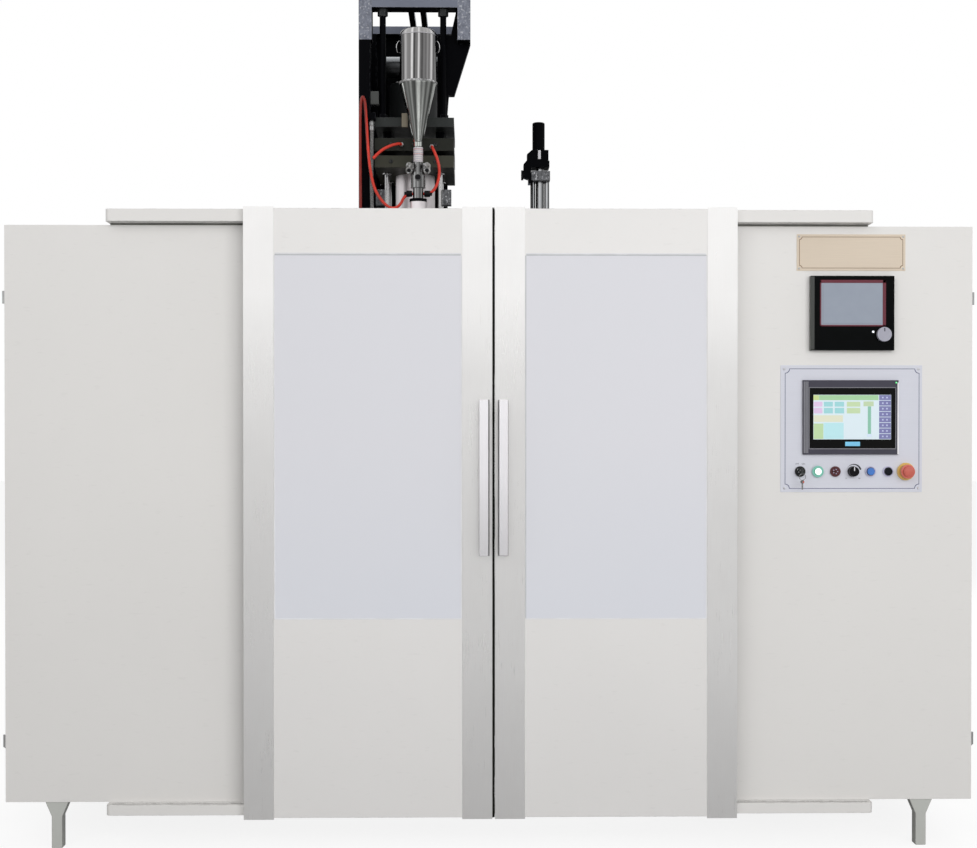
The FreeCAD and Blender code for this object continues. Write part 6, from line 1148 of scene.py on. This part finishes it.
def stripe_feed():
    """Polished stripe hopper with its rounded lid, over the ribbed tube, yoke and feed body."""
    shell = lathe(HOPPER_PROFILE, (FEEDER_X, FEEDER_DEPTH, 0), steps=112)
    for face in shell.faces:
        heights = [vertex.co.z / MM for vertex in face.verts]
        low, high = min(heights), max(heights)
        if low > LID_TOP_Z or low > LID_BEAD_SPAN[0] and high < LID_BEAD_SPAN[1]:
            face.material_index = 1
        elif low > SEAM_SPAN[0] and high < SEAM_SPAN[1]:
            face.material_index = 2
        elif high < CONE_TOP_Z:
            face.material_index = 3
    # The hopper's bright and dark streaks are painted reflections.
    hopper = finished("stripe_hopper_shell", shell, "polished_steel hopper_lid seam_bead polished_cone",
                      smooth_angle=28.0)
    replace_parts(hopper, "stripe_hopper")

    def feed_finish(x, depth, z, normal):
        if YOKE_SPAN[0] < z < YOKE_SPAN[1] and (depth < 317 or abs(x - FEEDER_X) > 16):
            return 3
        if 1883.5 < z < 1893.5 or depth < 300 and 1944 < z < 1966 and normal.y > -0.5:
            return 1
        return 2 if z < 1884 else 0

    dressed("stripe_feeder", "ground_steel black_paint heater_cover yoke_steel", 0.6, choose=feed_finish,
            around=[FEEDER_LINE])
    sleeve = [lathe([(13.4, 0), (14.4, 0.6), (14.4, 44.4), (13.4, 45)], (FEEDER_X, FEEDER_DEPTH, 2003), loop=True)]
    for side in (-1, 1):
        back = 1 if side < 0 else 0
        sleeve += [rod(9.5, (FEEDER_X + side * 18 - back * 18, FEEDER_DEPTH, CLAMP_Z), 18, "X", 1.5, index=1),
                   rod(6.0, (FEEDER_X + side * 36 - back * 6, FEEDER_DEPTH, CLAMP_Z), 6, "X", 1.0, 6, 1),
                   rod(10.5, (FEEDER_X + side * 27, 306, YOKE_Z), 10, "-Y", 1.2, index=2),
                   rod(6.5, (FEEDER_X + side * 27, 297, YOKE_Z), 4, "-Y", 0.8, 6, 1)]
    sleeve.append(rod(8.6, (FEEDER_X, 291, 1955), 1.6, "-Y", 0.4, 40, 1))
    built("feed_tube_sleeve", "pale_plastic black_plastic yoke_steel", sleeve)
    in_rows("feed_tube_ribs", ring(14.2, 15.1, None, 1.8, steps=32), "dial_grey", (FEEDER_X, FEEDER_DEPTH, 2005),
            rows=7, up=FEED_RIB_PITCH)
    built("feed_tube_lines", "red_line", [ring(14.2, 14.9, (FEEDER_X, FEEDER_DEPTH, z), 1.2, steps=32)
                                          for z in FEED_LINES_Z])
    for name, side in (("left", -1), ("right", 1)):
        cord(f"{name}_lid_clip", 1.2, [(FEEDER_X + side * (56.0 + out), depth, z) for out, depth, z in LID_CLIP],
             "chromed_rod")


HOSES = (
    ((-385, 358, 1520), (-386, 356, 1640), (-390, 352, 1780), (-391, 347, 1915), (-391, 341, 2035), (-391, 336, 2118),
     (-390, 334, 2165), (-388, 334, 2192), (-383, 333, 2206), (-377, 333, 2194), (-374, 333, 2165), (-371, 334, 2118),
     (-367, 334, 2048), (-361, 334, 1985), (-348, 333, 1924), (-322, 330, 1884), (-296, 325, 1864),
     (-270, 320, 1872), (-254, 318, 1909), (-231, 318, 1909)),
    ((-268, 385, 2068), (-268, 362, 2068), (-281, 343, 2064), (-306, 333, 2054), (-331, 328, 2039),
     (-351, 324, 2016)),
    ((-176, 385, 2062), (-176, 362, 2062), (-169, 345, 2045), (-157, 335, 2016), (-150, 328, 1981),
     (-155, 321, 1945), (-167, 318, 1920), (-182, 318, 1909), (-199, 318, 1909)))
HOSE_R = 4.5
CONDUIT = ((-357, 365, 2137), (-357, 365, 2070), (-359, 365, 1960), (-356, 366, 1840), (-361, 364, 1720),
           (-360, 360, 1610), (-360, 360, 1520))
CONDUIT_R = 5.5


def hoses_and_conduit():
    """Red cooling hoses and the braided conduit, each between its two fittings."""
    for place, route in enumerate(HOSES):
        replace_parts(cord(f"cooling_hose_{place + 1}", HOSE_R, route, "red_hose"), "cooling_hoses")
    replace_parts(cord("braided_conduit", CONDUIT_R, CONDUIT, "grey_braid"), "conduit")
    built("hose_fittings", "plain_steel", [
        rod(8.0, (-357, 365, 2122), 16, "Z", 1.2, 6), rod(6.8, (-357, 365, 2108), 14, "Z", 0.8),
        rod(8.0, (-360, 360, 1520), 14, "Z", 1.2, 6), rod(7.0, (-385, 358, 1520), 16, "Z", 1.2, 6),
        rod(7.0, (-268, 384, 2068), 12, "-Y", 1.2, 6), rod(7.0, (-176, 384, 2062), 12, "-Y", 1.2, 6)])


# ---------------------------------------------------------------- blow unit

BLOW_RODS = [("Z", x, 560.0) for x in (140.0, 162.0, 184.0)]
CLAMP_BLOCK_Z = (1984, 2015)
DECK_TOP_Z = 1521
SCALE_LOW_Z = 2054.4
SCALE_PITCH = 3.2


def blow_unit():
    """Stroke tube, black bracket and star knob over the clamp block, guide rods and blow pin."""
    def frame_finish(x, depth, z, normal):
        return 1 if CLAMP_BLOCK_Z[0] < z < CLAMP_BLOCK_Z[1] else 2 if z < DECK_TOP_Z else 0

    def cylinder_finish(x, depth, z, normal):
        return z < CLAMP_BLOCK_Z[0]

    dressed("blow_frame", "guide_rod cast_steel machine_paint", choose=frame_finish, around=BLOW_RODS)
    dressed("blow_cylinder", "black_paint guide_rod", choose=cylinder_finish, around=BLOW_RODS)
    dressed("blow_pin", "chromed_rod", 0.5, around=BLOW_RODS)
    dressed("stroke_knob", "black_plastic", 0.6)
    marks = [slab((156, 160 if step % 2 else 162), (525.6, 526.2),
                  (SCALE_LOW_Z + step * SCALE_PITCH, SCALE_LOW_Z + 0.8 + step * SCALE_PITCH), 0, 1)
             for step in range(8)]
    # The thin black bar along the left guide rod's left side is painted shade.
    built("stroke_scale", "white_plastic printed_ink black_paint", [
        slab((155.2, 163.4), (526.0, 530.0), (2052, 2079), 0.4), *marks,
        slab((136.5, 140.0), (545, 575), (1690, 1984), 0.8, 2)])
    in_rows("clamp_block_screws", cap_screw(4.5, 5.0, "-Y"), "cast_steel", (143, 525, 1999), columns=2, across=42)


# ---------------------------------------------------------------- behind the doors

def press_and_mould():
    """Shuttle, clamp and mould."""
    # The frame's bars meet face to face, so each of its flat faces keeps its own plain normal.
    bars = dressed("base_frame", "machine_paint", 1.2)
    bars.data.shade_flat()
    bars.modifiers.clear()
    for finish, width, nodes in (
            ("machine_paint", 1.2, ("carriage", "front_platen", "rear_platen", "clamp_cylinder")),
            ("dark_steel", 0.8, ("levelling_feet",)),
            ("plain_steel", 0.6, ("carriage_rails", "shuttle_cylinder", "clamp_tie_bars")),
            ("mould_aluminium", 0.8, ("front_mould", "rear_mould"))):
        for node in nodes:
            dressed(node, finish, width)


def extruder():
    """Barrel with its heater bands, screw, gearbox, motor and main hopper."""
    for node, finish, width in (("extruder_barrel", "plain_steel", 0.8), ("extruder_screw", "plain_steel", 0),
                                ("heater_bands", "heater_cover", 0.6), ("gearbox", "motor_paint", 2.0),
                                ("main_motor", "motor_paint", 0.8), ("main_hopper", "hopper_sheet", 0)):
        dressed(node, finish, width)
    in_ring("motor_flange_bolts", cap_screw(7, 8, "-Y"), "plain_steel", (35, 1527, 1660), 122, 8,
            tilt=(math.pi / 2, 0, 0))


def hydraulics():
    dressed("hydraulic_tank", "machine_paint", 1.2)
    dressed("pump_unit", "motor_paint")
    in_rows("tank_lid_screws", cap_screw(5, 5), "plain_steel", (-562, 1226, 620), columns=9, across=94)


for make in (guard, sliding_doors, operator_station, die_head_frame, stripe_feed, hoses_and_conduit, blow_unit,
             press_and_mould, extruder, hydraulics):
    make()


# ---------------------------------------------------------------- stage, light and camera

# The camera stands 4.5 m in front of the doors, turned a little to the right and down.
CAMERA_PLACE = (-0.059, DOOR_FACE_Y - 4.5, 1.1675)
CAMERA_YAW = math.radians(-0.9)
CAMERA_PITCH = math.radians(89.5)
FOCAL_PIXELS = 1596
SENSOR = 36.0
SHIFT_PIXELS = (-6.6, 29.9)
FLOOR_HALF = 40.0
WORLD_LIGHT = 0.44

# The lamps: place, the point that each faces, width and height, and power.
LAMPS = {
    "key_light": ((-3.0, -7.0, 4.6), (0, -0.9, 1.4), (4.0, 3.0), 90),
    "front_light": ((2.6, -8.2, 2.6), (0.3, -0.9, 1.2), (6.0, 3.0), 280),
    "rear_light": ((1.5, 6.5, 4.5), (0, 0.9, 1.2), (4.0, 3.0), 180)}


def photo_camera():
    data = bpy.data.cameras.new("photo_camera")
    data.sensor_width = SENSOR
    data.lens = FOCAL_PIXELS / PHOTO_WIDTH * SENSOR
    data.shift_x, data.shift_y = (pixels / PHOTO_WIDTH for pixels in SHIFT_PIXELS)
    data.clip_end = 200
    camera = linked("photo_camera", data)
    camera.location = CAMERA_PLACE
    camera.rotation_euler = (CAMERA_PITCH, 0, CAMERA_YAW)
    bpy.context.scene.camera = camera


def pale_floor():
    """Plain pale floor. The camera sees it as white with the machine's shadow."""
    f = Finish("studio_floor")
    pale = f.mix(f.span(f.noise(3.0, 3.0), 0.3, 0.7), (0.52, 0.52, 0.52), (0.56, 0.56, 0.56))
    matt = f.node("ShaderNodeBsdfDiffuse", {}, {"Color": pale})
    catch = f.node("ShaderNodeBsdfDiffuse", {}, {"Color": (0.18, 0.18, 0.18)})
    glow = f.node("ShaderNodeEmission", {}, {"Color": (1, 1, 1), "Strength": 0.86})
    bright = f.node("ShaderNodeAddShader", {}, {0: catch, 1: glow})
    surface = f.node("ShaderNodeMixShader", {}, {0: f.ray("Is Camera Ray"), 1: matt, 2: bright})
    f.node("ShaderNodeOutputMaterial", {}, {"Surface": surface})
    bm = bmesh.new()
    bm.faces.new([bm.verts.new((sx * FLOOR_HALF, sy * FLOOR_HALF, 0))
                  for sx, sy in ((-1, -1), (1, -1), (1, 1), (-1, 1))])
    floor = linked("studio_floor", as_mesh("studio_floor", bm))
    floor.data.materials.append(f.material)


def white_world():
    """Even soft light from all round. The camera, glossy and clear surfaces see it as plain white."""
    f = Finish("studio_world", "worlds")
    factor = f.ray("Is Camera Ray")
    for kind in ("Is Glossy Ray", "Is Transmission Ray"):
        factor = factor.maths("MAXIMUM", factor, f.ray(kind))
    even, white = (f.node("ShaderNodeBackground", {}, {"Color": (1, 1, 1), "Strength": strength})
                   for strength in (WORLD_LIGHT, 1.0))
    f.node("ShaderNodeOutputWorld", {}, {0: f.node("ShaderNodeMixShader", {}, {0: factor, 1: even, 2: white})})
    bpy.context.scene.world = f.material


def soft_light(name, place, aim, size, power):
    """Large area lamp. Metal shows the white studio and not the lamp's own outline."""
    data = bpy.data.lights.new(name, "AREA")
    data.shape = "RECTANGLE"
    data.size, data.size_y = size
    data.energy = power
    light = linked(name, data)
    light.location = place
    light.rotation_euler = (Vector(aim) - Vector(place)).to_track_quat("-Z", "Y").to_euler()
    light.visible_glossy = False


photo_camera()
pale_floor()
white_world()
for lamp, values in LAMPS.items():
    soft_light(lamp, *values)

bpy.context.scene.view_settings.view_transform = "Standard"
